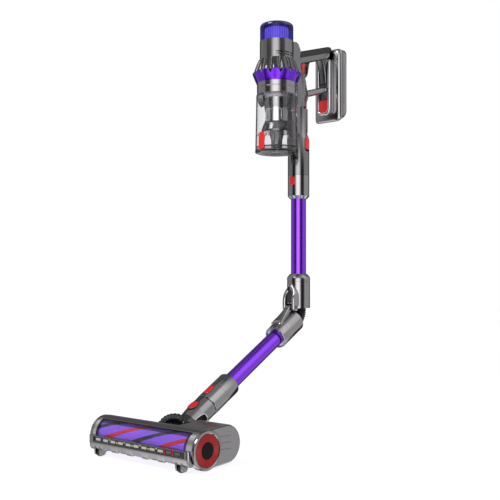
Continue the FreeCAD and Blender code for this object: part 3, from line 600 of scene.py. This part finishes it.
def front_bar():
    """Bar under the window: a shelf for the lights over a scalloped skirt."""
    rings = []
    count = 201
    for index in range(count):
        x = -134.0 + 268.0 * index / (count - 1)
        inside = -121.0 < x < 123.5
        place = ((x + 105.0) / 42.0) % 1.0
        open_part = -100.0 < x < 100.0 and 0.2 < place < 0.8
        lift = 3.6 * math.sin(math.pi * (place - 0.2) / 0.6) ** 0.35 if open_part else 0.0
        end = min(1.0, (134.0 - abs(x)) / 6.0)
        face = -327.8 + 1.6 * (1 - math.sqrt(1 - (1 - end) ** 2))
        depth = -324.9 if inside else face
        low = 12.4 + lift
        rings.append([(x, y, z) for y, z in [
            (-319.4, 40.6), (-324.2, 41.0), (face + 0.5, 40.6), (face, 40.0), (face, 39.2),
            (depth, 38.8), (depth, 28.2), (face, 27.8), (face - 0.1, 26.6), (face + 0.3, 24.6),
            (face + 1.8, 17.0), (face + 3.4, low + 1.2), (face + 5.2, low), (-315.0, low),
            (-313.8, low + 1.6), (-318.6, 20.0), (-321.4, 30.0), (-320.2, 37.0)]])
    return loft(rings)


pod = fillet([(-327.0, 20.0), (-327.0, 9.0), (-325.8, 3.0), (-319.0, 1.6), (-312.6, 4.0), (-312.0, 14.0),
              (-316.0, 21.0)], 3.0)
pods = [(prism(pod, x + x0, x + x1), NICKEL)
        for x in (-110.0, 110.0) for x0, x1 in ((-8.6, -4.9), (4.9, 8.6))]
show("front_bar_shell", [(front_bar(), NICKEL)] + pods, "head", ["front_bar"], angle=28,
     round_by=0.3)

lights = [(box(-120.6, 123.2, -325.2, -324.4, 28.6, 38.4), DARK)]
for step in range(11):
    x = -108.0 + 21.4 * step
    pad = WHITE_PAD if step < 9 else GREY
    lights.append((box(x - 6.6, x + 6.6, -326.3, -325.2, 31.2, 35.8, 0.9), pad))
    if 0 < step < 8:
        verts, faces = lathe([(TIP, -0.5), (1.5, -0.5), (1.5, 0.2), (1.0, 0.7), (TIP, 0.8)], 0.0, 0.0, 20)
        level = 36.4 if step % 2 else 33.0
        lights.append((([(across + x + 10.6, -325.6 - out, up + level) for across, up, out in verts], faces),
                       YELLOW))
    if step in (8, 9):
        lights.append((box(x + 9.4, x + 10.8, -326.2, -325.2, 29.6, 38.0, 0.4), RED))
for low, high in ((37.3, 38.1), (29.0, 29.7)):
    lights.append((box(-118.0, 120.0, -326.0, -325.2, low, high, 0.3), GREY))
show("light_strip_pads", lights, "head", ["light_strip"], round_by=0.15)


# ---- cyclone crown, cones and filter ----
LOBES = 14
LOBE_STEP = 360.0 / LOBES
LOBE_START = -55.1


def crown():
    """Faceted ring: a broad facet points down under each cone, a narrow one up between them."""
    half = LOBE_STEP / 2
    corners = ((46.6, 0, 782.0), (44.4, half, 782.0), (47.6, 0, 784.4), (44.8, half, 784.2),
               (54.7, -7.6, 803.4), (54.7, 7.6, 803.4), (48.6, half, 795.6),
               (53.0, -7.0, 804.6), (53.0, 7.0, 804.6), (47.4, half, 796.8),
               (50.0, -6.6, 803.2), (50.0, 6.6, 803.2), (46.2, half, 796.0),
               (44.0, 0, 784.0), (44.0, half, 784.0), (44.0, 0, 782.0), (44.0, half, 782.0))
    verts = [polar(radius, LOBE_START + lobe * LOBE_STEP + turn, z)
             for lobe in range(LOBES) for radius, turn, z in corners]
    faces = []
    per_lobe = len(corners)
    for lobe in range(LOBES):
        at = lobe * per_lobe
        after = (lobe + 1) % LOBES * per_lobe
        low, low_mid, foot, foot_mid, left, right, valley = range(at, at + 7)
        top_left, top_right, top_valley, in_left, in_right, in_valley = range(at + 7, at + 13)
        in_foot, in_mid, base, base_mid = range(at + 13, at + per_lobe)
        faces += [(low, low_mid, foot_mid, foot), (low_mid, after, after + 2, foot_mid),
                  (foot, right, left), (foot, foot_mid, valley), (foot, valley, right),
                  (foot_mid, after + 2, valley), (after + 2, after + 4, valley),
                  (left, right, top_right, top_left), (right, valley, top_valley, top_right),
                  (valley, after + 4, after + 7, top_valley),
                  (top_left, top_right, in_right, in_left), (top_right, top_valley, in_valley, in_right),
                  (top_valley, after + 7, after + 10, in_valley),
                  (in_foot, in_left, in_right), (in_foot, in_right, in_valley),
                  (in_foot, in_valley, in_mid),
                  (in_mid, in_valley, after + 13), (in_valley, after + 10, after + 13),
                  (in_foot, in_mid, base_mid, base), (in_mid, after + 13, after + 15, base_mid),
                  (base, base_mid, low_mid, low), (base_mid, after + 15, after, low_mid)]
    return verts, faces


show("cyclone_crown", (crown(), VIOLET), "main_unit", ["cyclone_ring"], angle=12,
     round_by=0.35)


def cone(angle):
    """One smoky cone, leaning in towards the motor."""
    stations = ((796.0, 41.5, 8.6, 9.6), (803.5, 42.6, 9.0, 10.4), (806.5, 42.4, 9.2, 10.5),
                (812.0, 41.0, 8.8, 9.8), (820.0, 38.6, 8.2, 8.6), (828.0, 36.2, 7.4, 7.6),
                (834.0, 34.0, 6.4, 6.6))
    c, s = cos_sin(angle)
    return loft([[((reach + a) * c - b * s, UNIT + (reach + a) * s + b * c, z)
                  for a, b in oval(half_in, half_round, 2.2, 32)]
                 for z, reach, half_in, half_round in stations])


cones = [(cone(LOBE_START + lobe * LOBE_STEP), SMOKY_GLOSS) for lobe in range(LOBES)]
cones.append((lathe([(34.0, 795.0), (46.0, 797.0), (44.5, 806.0), (40.5, 822.0), (37.0, 834.6),
                     (30.0, 834.6)], UNIT), SMOKY_GLOSS))
for lobe in range(LOBES):
    a = LOBE_START + (lobe + 0.5) * LOBE_STEP
    low, high = Vector(polar(47.2, a, 803.0)), Vector(polar(38.2, a, 834.0))
    path = [low.lerp(high, share / 8) for share in range(9)]
    cones.append((sweep(path, oval(1.1, 1.1, 2.0, 12), side=(0, 0, 1)), NICKEL_DARK))
show("cyclone_cone_row", cones, "main_unit", ["cyclone_cones"], angle=50)

shell = lathe([(37.3, 872.4), (37.3, 907.0), (35.9, 907.0), (35.9, 872.4)], UNIT, steps=160)
rim = lathe([(37.3, 906.6), (37.3, 909.0), (36.6, 911.6), (34.6, 913.6), (31.5, 914.0), (TIP, 914.0),
             (TIP, 911.6), (30.0, 911.6), (35.4, 906.6)], UNIT, steps=160)
foot = lathe([(37.3, 869.0), (37.3, 872.6), (33.6, 872.6), (33.6, 869.0)], UNIT, steps=160)
grips = []
for step in range(44):
    x, y, _ = polar(37.0, 360.0 * step / 44, 0)
    grips.append((lathe([(TIP, 873.0), (0.35, 873.0), (0.35, 906.8), (TIP, 906.8)], y, x, 8), TINTED))
show("filter_shell", [(shell, TINTED), (rim, NAVY), (foot, NAVY)] + grips, "filter",
     ["filter_cap"])
PLEAT_EDGES = 84
pleats = []
for z, inset in ((876.0, 1.0), (877.0, 0.0), (904.0, 0.0), (905.0, 1.0)):
    pleats.append([polar((27.0 if step % 2 else 24.2) - inset, 360.0 * step / PLEAT_EDGES, z)
                   for step in range(PLEAT_EDGES)])
show("filter_pleat_pack", [(loft(pleats), PLEATS)], "filter", ["filter_pleats"], angle=20)


# ---- bin and shroud ----
# Painted shade: a smoked sheet inside the clear bin darkens its right side, where the shroud behind it lies
# in shadow.
shade_panel_rings = []
for step in range(33):
    a = -22.0 + 92.0 * step / 32
    shade_panel_rings.append([polar(44.6, a, 641.0), polar(43.6, a, 641.0), polar(43.0, a, 753.0), polar(44.0, a, 753.0)])
show("bin_painted_shade", (loft(shade_panel_rings), SMOKED), "bin", angle=40)
ramp_rings = []
for step in range(25):
    a = -178.0 + 74.0 * step / 24
    low = 752.0 - 17.0 * (1 - step / 24) ** 1.5
    ramp_rings.append([polar(44.2, a, low), polar(33.0, a, low + 3.0), polar(33.0, a, 755.0),
                       polar(44.2, a, 755.0)])
show("bin_inlet_ramp", (loft(ramp_rings), SMOKY_GLOSS), "main_unit", angle=40)
seams = [(lathe([(48.3, 628.2), (48.7, 628.8), (48.7, 630.0), (48.3, 630.6), (47.6, 629.4)], UNIT,
                steps=160), DARK),
         (lathe([(20.6, 629.2), (22.4, 629.2), (22.4, 631.6), (20.6, 631.6)], UNIT, steps=96), DARK),
         (lathe([(33.0, 629.2), (34.0, 629.2), (34.0, 630.4), (33.0, 630.4)], UNIT, steps=120), GREY)]
for step in range(12):
    a = 30.0 * step
    corners = ((-1, 629.2), (1, 629.2), (1, 631.0), (-1, 631.0))
    seams.append((loft([[polar(radius, a + side * half, z) for side, z in corners]
                        for radius, half in ((22.0, 1.8), (33.4, 1.2))]), GREY))
show("lid_ribs", seams, "lid", angle=40)


# ---- elbow, drawn straight below the hinge and folded ----
socket = lathe([(26.4, 277.9), (26.5, 278.3), (26.5, 339.0), (26.1, 339.3), (26.1, 340.0), (26.5, 340.3),
                (26.5, 348.6), (26.1, 349.4), (20.4, 356.4), (19.4, 357.0), (17.7, 357.0), (17.7, 341.0),
                (19.2, 340.0), (19.2, 277.9)], AXIS)


def fork():
    """Wishbone on the socket's front: two arms splay down from a bridge to the hinge pin."""
    arm = [(12.3, 272.6), (12.5, 281.0), (12.6, 296.0), (11.8, 309.0), (9.2, 317.0), (5.0, 321.6)]
    count = 84
    points = spline([(-x, 0.0, z) for x, z in arm] + [(0.0, 0.0, 323.0)]
                    + [(x, 0.0, z) for x, z in reversed(arm)], count)
    rings = []
    for step, point in enumerate(points):
        heading = (points[min(count, step + 1)] - points[max(0, step - 1)]).normalized()
        out = Vector((-heading.z, 0, heading.x))
        share = abs(step / count - 0.5) * 2
        foot = max(0.0, (share - 0.93) / 0.07)
        wide = 4.3 - 1.2 * foot + 4.6 * max(0.0, 1 - share / 0.3) ** 1.2
        z = point.z
        front = 137.2 + 14.0 * max(0.0, (z - 296.0) / 38.0) ** 1.5 + 3.0 * foot
        back = 157.0 - 5.2 * min(1.0, max(0.0, (284.0 - z) / 4.5))
        ring = []
        for side, y in ((-wide, back), (-wide, front + 3.2), (-wide + 1.0, front + 0.9),
                        (-wide + 2.4, front), (wide - 2.4, front), (wide - 1.0, front + 0.9),
                        (wide, front + 3.2), (wide, back)):
            place = point + out * side
            ring.append((place.x, y, place.z))
        rings.append(ring)
    return loft(rings)


caps = []
for side in (1, -1):
    profile = [(TIP, 16.2), (4.6, 16.2), (4.6, 16.8), (3.8, 17.6), (TIP, 17.6)]
    caps.append((axle([(radius, side * x) for radius, x in profile], PIN_Y, PIN_Z, 40), NICKEL_DARK))
show("elbow_upper_shell", [(socket, NICKEL), (fork(), NICKEL)] + caps, "main_unit",
     ["elbow_upper"], angle=32)

low_socket = lathe([(19.2, 277.0), (26.0, 277.0), (26.5, 276.4), (26.5, 229.6), (26.1, 229.3), (26.1, 228.6),
                    (26.5, 228.3), (26.5, 201.4), (26.0, 200.0), (24.6, 199.4), (23.6, 199.8), (22.6, 202.6),
                    (17.8, 202.8), (17.8, 217.0), (19.2, 218.0)], AXIS)


def tongue():
    """Flared tongue from the lower socket's front up to the hinge pin."""
    stations = ((216.0, 13.6, 149.8, 157.0), (219.0, 14.2, 147.6, 158.0), (226.0, 13.0, 146.4, 158.0),
                (238.0, 10.4, 144.6, 157.6), (250.0, 8.4, 142.4, 156.8), (262.0, 7.3, 140.0, 155.8),
                (272.0, 7.2, 138.0, 153.4), (276.6, 7.2, 137.4, 150.0), (284.0, 7.0, 138.8, 148.4),
                (286.4, 6.4, 141.6, 146.8))
    return loft([[(a, (front + back) / 2 + b, z) for a, b in oval(wide, (back - front) / 2, 3.4, 40)]
                 for z, wide, front, back in stations])


def saddle():
    """Band wrapped round the foot of the tongue."""
    rings = []
    for z, reach in ((200.6, 27.3), (204.0, 28.4), (212.0, 28.6), (217.0, 28.2), (219.0, 27.0)):
        ring = [(a / reach, reach - 6.0 + b) for a, b in oval(13.2, 6.2, 3.0, 40)]
        rings.append([(out * math.sin(turn), AXIS - out * math.cos(turn), z) for turn, out in ring])
    return loft(rings)


show("elbow_lower_shell", [(low_socket, NICKEL), (tongue(), NICKEL), (saddle(), NICKEL_DARK)],
     "lower_wand", ["elbow_lower"], fold=True, angle=32)


def bellows():
    """Ribbed duct behind the hinge, from the upper socket round to the lower one."""
    steps_per_rib = 8
    count = 9 * steps_per_rib
    inside = 6      # steps that run straight on inside each socket
    rings = []
    for step in range(-inside, count + inside + 1):
        bent = Matrix.Rotation(-BEND * min(max(step, 0), count) / count, 3, "X")
        slide = min(step, 0) * -1.2 + (count - max(step, count)) * 1.2
        radius = 15.8 + 2.2 * (1 - ripple(step / steps_per_rib, 1))
        ring = []
        for side in range(56):
            a = TURN * side / 56
            turned = bent @ Vector((radius * math.cos(a), AXIS + radius * math.sin(a) - PIN_Y, slide))
            ring.append((turned.x, turned.y + PIN_Y, turned.z + PIN_Z - 2.6))
        rings.append(ring)
    return loft(rings)


def free_piece(name, shape, material, replaces, between):
    """A soft black piece between two bodies, hung on neither of them."""
    piece = show(name, (shape, material), between[0], replaces)
    spot = piece.matrix_world.copy()
    piece.parent = None
    piece.matrix_world = spot
    if "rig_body" in piece:
        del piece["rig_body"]
    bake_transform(piece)


free_piece("elbow_bellows", bellows(), RUBBER, ["elbow_hose"], ("main_unit", "lower_wand"))


# ---- neck ----
def hose():
    """Corrugated hose that loops over the pivot and down into the head."""
    points = ((9, 1, 2), (4, -1, 15), (-10, -3, 21), (-28, -5, 19), (-43, -7, 11), (-52, -11, -2),
              (-54, -15, -14))
    path = spline([(x, NECK_Y + y, NECK_Z + z) for x, y, z in points], 150)

    def ring(share):
        radius = 9.4 - 1.9 * ripple(share, 15)
        return oval(radius, radius, 2.0, 40)

    return sweep(path, ring, side=(0, 1, 0))


def barrel():
    """Ribbed barrel round the tilt pivot."""
    rings = []
    for step in range(61):
        radius = 13.6 - 1.5 * ripple(step / 60, 6)
        rings.append([around(radius, 7.5 * a, -14.4 + 28.8 * step / 60, (NECK_Y, NECK_Z)) for a in range(48)])
    return loft(rings)


def throat():
    """Ribbed cover over the opening in the back of the head."""
    rings = []
    for step in range(33):
        x = -28.6 + 57.2 * step / 32
        outer = 35.6 if step % 2 else 36.3
        rings.append([around(34.5, a, x) for a in range(134, 204, 6)]
                     + [around(outer, a, x) for a in range(200, 130, -6)])
    return loft(rings)


free_piece("neck_hose_ribbed", hose(), GLOSSY_RUBBER, ["neck_hose"], ("neck", "head"))
tongue_outline = fillet([(NECK_Y - 30, NECK_Z - 22), (NECK_Y - 8, NECK_Z - 15), (NECK_Y - 4, NECK_Z),
                         (NECK_Y - 24, NECK_Z), (NECK_Y - 34, NECK_Z - 4)], 5.0)
show("neck_duct", [(throat(), RUBBER), (barrel(), RUBBER), (prism(tongue_outline, -13.6, 13.6), RUBBER)],
     "head", round_by=1.2)


def arch(side):
    """Raised rim round the side opening of the neck, with a ribbed duct inside."""
    path = [(side * 20.4, AXIS - 9.6, -118.0), (side * 21.4, AXIS - 10.4, -108.0)]
    for a in range(0, 181, 15):
        c, s = cos_sin(a)
        path.append((side * (22.4 + 0.8 * s), AXIS + 2 - 11.6 * c, -100.0 + 11.6 * s))
    path += [(side * 21.4, AXIS + 14.0, -108.0), (side * 20.4, AXIS + 13.2, -118.0)]
    return sweep(spline(path, 90), oval(1.5, 1.3, 2.0, 14))


def duct_inside():
    """Ribbed duct seen through the neck's side openings."""
    rings = []
    for step in range(73):
        radius = 17.6 - 1.6 * ripple(step / 72, 10)
        rings.append([(a, AXIS + b, -60.0 - 60.0 * step / 72) for a, b in oval(radius, radius, 2.0, 48)])
    return loft(rings)


def boss():
    """Dark oval recess round the neck button."""
    path = []
    for a in range(0, 361, 8):
        c, s = cos_sin(a)
        path.append((10.4 * s, AXIS - 24.7 + 2.1 * s ** 2, -90.0 - 13.8 * c))
    return sweep(path, oval(1.3, 1.1, 2.0, 12), side=(0, 1, 0.02))


# Matt black plates fill the neck's side openings: partly the black hose inside, partly painted shade of the
# openings' shadowed insides.
opening_outline = fillet([(AXIS - 9.4, -117.0), (AXIS - 9.4, -90.0), (AXIS + 13.4, -90.0), (AXIS + 13.4, -117.0)],
                8.0)
painted_opening_shades = [(prism(opening_outline, x0, x1), MATT) for x0, x1 in ((20.4, 21.4), (-21.4, -20.4))]
trim = painted_opening_shades + [(arch(1), CHROME), (arch(-1), CHROME), (boss(), DARK), (duct_inside(), RUBBER)]
show("neck_trim", trim, "lower_wand", fold=True, angle=40)

COLLAR_RADIUS = 25.0


def collar(low, high, groove):
    """Sleeve with a parting groove round it and a stepped mouth."""
    return lathe([(19.0, low), (24.4, low), (COLLAR_RADIUS, low + 0.6), (COLLAR_RADIUS, groove - 0.5),
                  (24.6, groove - 0.3), (24.6, groove + 0.3), (COLLAR_RADIUS, groove + 0.5),
                  (COLLAR_RADIUS, high - 1.8), (24.4, high - 0.6), (23.2, high), (20.0, high),
                  (18.4, high - 2.4), (17.7, high - 2.6), (17.7, low + 30.0), (19.0, low + 28.0)], AXIS)


def pill_rim(z0, z1, half):
    """Dark line round a button on the collar."""
    ring = oval(half + 0.7, (z1 - z0) / 2 + 0.7, 3.0, 56)
    path = [(a, AXIS - math.sqrt(COLLAR_RADIUS ** 2 - a ** 2) - 0.02, (z0 + z1) / 2 + b)
            for a, b in ring + ring[:1]]
    return sweep(path, oval(0.55, 0.4, 2.0, 10), side=(0, 1, 0.02))


show("wand_collar_low_shell", [(collar(-58.8, 20.0, -19.5), NICKEL), (pill_rim(-50.0, -24.0, 7.0), DARK)],
     "lower_wand", ["wand_collar_low"], fold=True, angle=32)


# ---- handle ----
GRIP_TILT = math.tan(math.radians(17.8))


def grip_line(y, offset):
    return 857.0 + (y - 175.7) * GRIP_TILT + offset


def grip_half(way, half, y0, y1):
    """Half of the grip bar, way 1 above or -1 below: rounded outside, flat at the parting line."""
    count, boxy, deep = 40, 0.62, 14.9
    rings = []
    for step in range(count + 1):
        y = y0 + (y1 - y0) * step / count
        end = min(1.0, (step + 0.25) / 2.5, (count - step + 0.25) / 2.5)
        squeeze = 1.0 - 0.12 * (1 - end) ** 2
        ring = []
        for side in range(33):
            c, s = math.cos(math.pi * side / 32), math.sin(math.pi * side / 32)
            a = half * squeeze * math.copysign(abs(c) ** boxy, c)
            ring.append((a, y, grip_line(y, way * (abs(s) ** boxy * deep * squeeze + 0.25))))
        rings.append(ring)
    return loft(rings)


def upright(y, low, high, half, foot, head):
    """Upright rounded oblong: foot and head are the radii of its lower and upper corners."""
    corners = [(-half, low, foot), (half, low, foot), (half, high, head), (-half, high, head)]
    return [(x, y, z) for x, z in fillet(corners, head, 9)]


def foot_tray():
    """Upright plate at the end of the grip: a rounded rim round a sunk floor."""
    rings = []
    for y, inset in ((294.5, 0.8), (293.6, 0.0), (282.0, 0.0), (279.2, 0.5), (277.6, 1.8), (277.1, 3.2),
                     (277.5, 4.6), (279.0, 5.4), (284.5, 5.8)):
        low, high, half = 741.0 + inset, 876.0 - inset * 0.3, 20.0 - inset
        rings.append(upright(y, low, high, half, 17.5 - inset * 0.6, 8.0))
    return loft(rings)


def gusset():
    """Web that widens from the tray up into the grip."""
    rings = []
    for step in range(25):
        share = step / 24
        z = 818.0 + 62.0 * share
        front = 277.4 - 24.0 * share ** 2.2
        half = 8.5 + 5.5 * share ** 2
        rings.append([(a, (front + 284.0) / 2 + b, z) for a, b in oval(half, (284.0 - front) / 2, 3.0, 36)])
    return loft(rings)


def guard():
    """Loop in front of the trigger, from the spine to the grip's underside."""
    path = [(0, 181.0, 817.5), (0, 189.0, 814.2), (0, 196.5, 816.5), (0, 202.0, 824.0), (0, 204.8, 834.0),
            (0, 206.6, 843.0), (0, 209.6, 852.0)]
    return sweep(spline(path, 36), oval(9.0, 1.7, 2.8, 36))


# The grip's underside takes the darker nickel copy: painted shade.
show("grip_underside", [(grip_half(-1, 15.8, 166.0, 286.0), NICKEL_PAINTED_SHADE), (gusset(), NICKEL_DARK),
                        (guard(), NICKEL)], "main_unit", ["grip_frame"], angle=50)
show("grip_soft_cover", (grip_half(1, 16.0, 167.5, 293.5), SOFT), "main_unit",
     ["grip_cover"], angle=50)
# The rim bar, in bright nickel, lies along the tray's rounded rim: a real rim with a painted highlight.
rim = upright(278.7, 745.2, 872.0, 16.2, 14.0, 6.0)
rim_highlight_bar = sweep(rim + rim[:1], oval(1.5, 3.3, 2.2, 20), side=(0, 1, 0))
show("handle_foot_tray", [(foot_tray(), NICKEL), (rim_highlight_bar, CHROME),
                          (box(-14.1, 14.1, 284.3, 284.7, 747.0, 871.0, 11.0), NICKEL_DARK),
                          (box(-14.3, 14.3, 282.6, 284.6, 744.6, 780.4, 12.0), DARK)], "main_unit",
     ["handle_foot"], angle=32)


def strut_line(y, offset):
    return 780.0 + (y - 205.0) * GRIP_TILT + offset


strut = sweep([(0, y, strut_line(y, -0.6)) for y in range(198, 287, 4)], oval(12.0, 6.7, 3.6, 56))
inlay = sweep([(0, y, strut_line(y, 5.9)) for y in range(208, 277, 4)], oval(8.6, 0.9, 4.0, 56))
show("strut_bar", [(strut, NICKEL), (inlay, SOFT)], "main_unit", ["strut"], angle=40)


def battery_shell(stations):
    """Rounded case through (y, inset) stations; its foot rises towards the back."""
    rings = []
    for y, inset in stations:
        low = 726.0 + inset + max(0.0, y - 300.0) * 0.62
        high = 903.0 - inset
        half = 38.0 - inset
        rings.append(upright(y, low, high, half, 13.0, 12.0))
    return loft(rings)


front_part = battery_shell([(295.0, 6.4), (295.4, 5.0), (297.0, 2.6), (299.6, 0.8), (302.6, 0.3),
                            (306.4, 0.3), (307.0, 1.0), (307.0, 3.0)])
rear_part = battery_shell([(305.0, 4.0), (305.0, 2.2), (308.4, 2.2), (308.8, 0.2), (320.0, 0.0), (324.0, 0.8),
                           (326.8, 2.8), (328.0, 6.4), (328.0, 12.0)])
stripes = [(box(37.4, 37.9, y, y + 1.0, 770.0, 868.0, 0.4), NICKEL_DARK) for y in (312.0, 316.6, 321.2)]
eyelet, eyelet_skin = lathe([(2.8, 0.0), (5.6, 0.0), (5.6, 0.35), (5.0, 0.7), (3.4, 0.7), (2.8, 0.2)],
                            0.0, 0.0, 40)
plug = ([(x, 327.9 - out, 752.0 + up) for x, up, out in eyelet], eyelet_skin)
show("battery_shell", [(front_part, NICKEL), (rear_part, NICKEL), (plug, DARK)] + stripes, "battery",
     ["battery_case"], angle=32)


# ---- spine: the CAD casing with its upper part slimmed towards the handle ----
def carved(source, cutters):
    """The CAD mesh of a node less some closed shapes, in millimetres."""
    shape = bmesh.new()
    shape.from_mesh(source.data)
    shape.transform(Matrix.Scale(1 / MM, 4) @ source.matrix_world)
    weld = 0.002
    bmesh.ops.remove_doubles(shape, verts=shape.verts, dist=weld)
    blank = bpy.data.meshes.new("blank")
    shape.to_mesh(blank)
    shape.free()
    block = add_object("blank", blank)
    helpers = [block]
    for verts, faces in cutters:
        mesh = bpy.data.meshes.new("cutter")
        mesh.from_pydata(verts, [], faces)
        tool = add_object("cutter", mesh)
        bpy.context.view_layer.update()
        change = block.modifiers.new("cut", "BOOLEAN")
        change.operation = "DIFFERENCE"
        change.solver = "EXACT"
        change.object = tool
        helpers.append(tool)
    bpy.context.view_layer.update()
    result = block.evaluated_get(bpy.context.evaluated_depsgraph_get()).to_mesh()
    verts = [tuple(vertex.co) for vertex in result.vertices]
    faces = [tuple(face.vertices) for face in result.polygons]
    for helper in helpers:
        bpy.data.objects.remove(helper)
    return verts, faces


def outwards(verts, faces):
    """The same closed shape with every face turned outwards."""
    shape = bmesh.new()
    made = [shape.verts.new(vert) for vert in verts]
    for face in faces:
        shape.faces.new([made[index] for index in face])
    bmesh.ops.recalc_face_normals(shape, faces=shape.faces)
    shape.verts.index_update()
    faces = [tuple(vert.index for vert in face.verts) for face in shape.faces]
    shape.free()
    return verts, faces


front_cut = ((17.6, 786.0), (13.4, 818.0), (13.4, 892.0), (22.0, 892.0), (22.0, 786.0))      # x, z
rear_cut = ((17.3, 172.0), (8.6, 199.0), (8.6, 208.0), (22.0, 208.0), (22.0, 172.0))          # x, y
cutters = []
for side in (-1, 1):
    cutters.append(outwards(*slab_y([(side * x, z) for x, z in front_cut], 128.0, 172.0)))
    cutters.append(outwards(*loft([[(side * x, y, z) for x, y in rear_cut] for z in (738.0, 830.0)])))
# The spine takes the darker nickel copy: painted shade.
show("spine_shell", (carved(NODES["spine_casing"], cutters), NICKEL_PAINTED_SHADE), "main_unit",
     ["spine_casing"], angle=35)


# ---- light, backdrop and camera ----
FACING = math.radians(-50.3)    # direction that the bands are turned to
# Brightness of the sky: (degrees from the facing direction, level), then (share of the turn, level).
BANDS = [(-180, 0.2), (-150, 0.02), (-141, 0.02), (-136, 0.45), (-76, 0.5), (-68, 0.03), (-42, 0.03),
         (-33, 1.1), (-20, 2.7), (2, 2.7), (14, 1.1), (22, 0.04), (52, 0.04), (60, 0.68), (124, 0.68),
         (132, 0.02), (150, 0.02), (180, 0.2)]
ABOVE = [(0.03, 0.15), (0.1, 0.15), (0.17, 0.75), (0.24, 0.25), (0.45, 0.3), (0.6, 0.6), (0.68, 1.5),
         (0.76, 1.0), (0.85, 0.3), (0.95, 0.15)]
BELOW = [(0.0357 + 0.0714 * step, 1.9 if step % 2 else 0.05) for step in range(14)]
ZENITH = (0.4, 0.4, 0.4, 1)
WHITE = (1, 1, 1, 1)


def studio_world():
    """Upright soft bands that reflections see; plain white where the sky is seen directly."""
    world = bpy.data.worlds.new("studio")
    bpy.context.scene.world = world
    world.use_nodes = True
    tree = world.node_tree
    source = node(tree, "ShaderNodeTexCoord")
    turned = node(tree, "ShaderNodeMapping")
    turned.inputs["Rotation"].default_value = (0, 0, -FACING)
    tree.links.new(source.outputs["Generated"], turned.inputs["Vector"])
    parts = node(tree, "ShaderNodeSeparateXYZ")
    tree.links.new(turned.outputs["Vector"], parts.inputs["Vector"])
    angle = calculate(tree, "ARCTAN2", parts.outputs["Y"], parts.outputs["X"])
    share = share_of(tree, angle, -math.pi, math.pi)

    def bands(stops, blue=1.0):
        return ramp(tree, share, [(place, (level, level, level * blue)) for place, level in stops])

    colour = bands([((degrees + 180) / 360, level) for degrees, level in BANDS], 1.01)
    for start, end, other in ((0.22, 0.5, bands(ABOVE)), (0.85, 0.97, ZENITH), (-0.3, -0.6, bands(BELOW))):
        height = share_of(tree, parts.outputs["Z"], start, end, "SMOOTHSTEP")
        colour = mix(tree, height, colour, other)
    path = node(tree, "ShaderNodeLightPath")
    unreflected = calculate(tree, "LESS_THAN", path.outputs["Glossy Depth"], 0.5)
    through = calculate(tree, "MULTIPLY", unreflected, path.outputs["Is Transmission Ray"])
    seen = calculate(tree, "MAXIMUM", through, path.outputs["Is Camera Ray"])
    back = tree.nodes["Background"]
    tree.links.new(mix(tree, seen, colour, WHITE), back.inputs["Color"])
    back.inputs["Strength"].default_value = 1.0


def key_light(place, target, size, power):
    """Square soft light turned to a target."""
    lamp = bpy.data.lights.new("key", "AREA")
    lamp.shape = "RECTANGLE"
    lamp.size = lamp.size_y = size
    lamp.energy = power
    made = add_object("key", lamp)
    made.location = place
    made.rotation_euler = (Vector(target) - Vector(place)).to_track_quat("-Z", "Y").to_euler()


def view_camera():
    """Camera where the photograph was taken from."""
    lens = bpy.data.cameras.new("view")
    lens.lens = 57.91
    lens.sensor_width = 36.0
    lens.shift_y = 0.0712
    lens.clip_end = 60.0
    camera = add_object("view", lens)
    camera.location = (1.1073, -1.3312, 0.3297)
    camera.rotation_euler = (math.radians(90), 0, math.radians(39.72))
    bpy.context.scene.camera = camera


def floor_material():
    """Pale floor with a soft shadow, fading to the white of the backdrop."""
    material, _, shader = new_material("pale_floor")
    shader.inputs["Base Color"].default_value = (0.3, 0.3, 0.305, 1)
    shader.inputs["Roughness"].default_value = 0.8
    shader.inputs["Specular IOR Level"].default_value = 0.0
    shader.inputs["Emission Color"].default_value = WHITE
    shader.inputs["Emission Strength"].default_value = 0.86
    return material


def backdrop():
    """Round floor just under the object, left out of reflections."""
    bpy.ops.mesh.primitive_circle_add(vertices=128, radius=12.0, fill_type="NGON", location=(0, 0, -0.0005))
    ground = bpy.context.object
    ground.name = "floor"
    ground.data.materials.append(floor_material())
    ground.visible_glossy = False
    ground.visible_diffuse = False


studio_world()
view_camera()
bpy.context.scene.view_settings.view_transform = "Standard"
backdrop()
key_light((-0.6, -2.2, 2.6), (0, 0, 0.4), 1.2, 40)
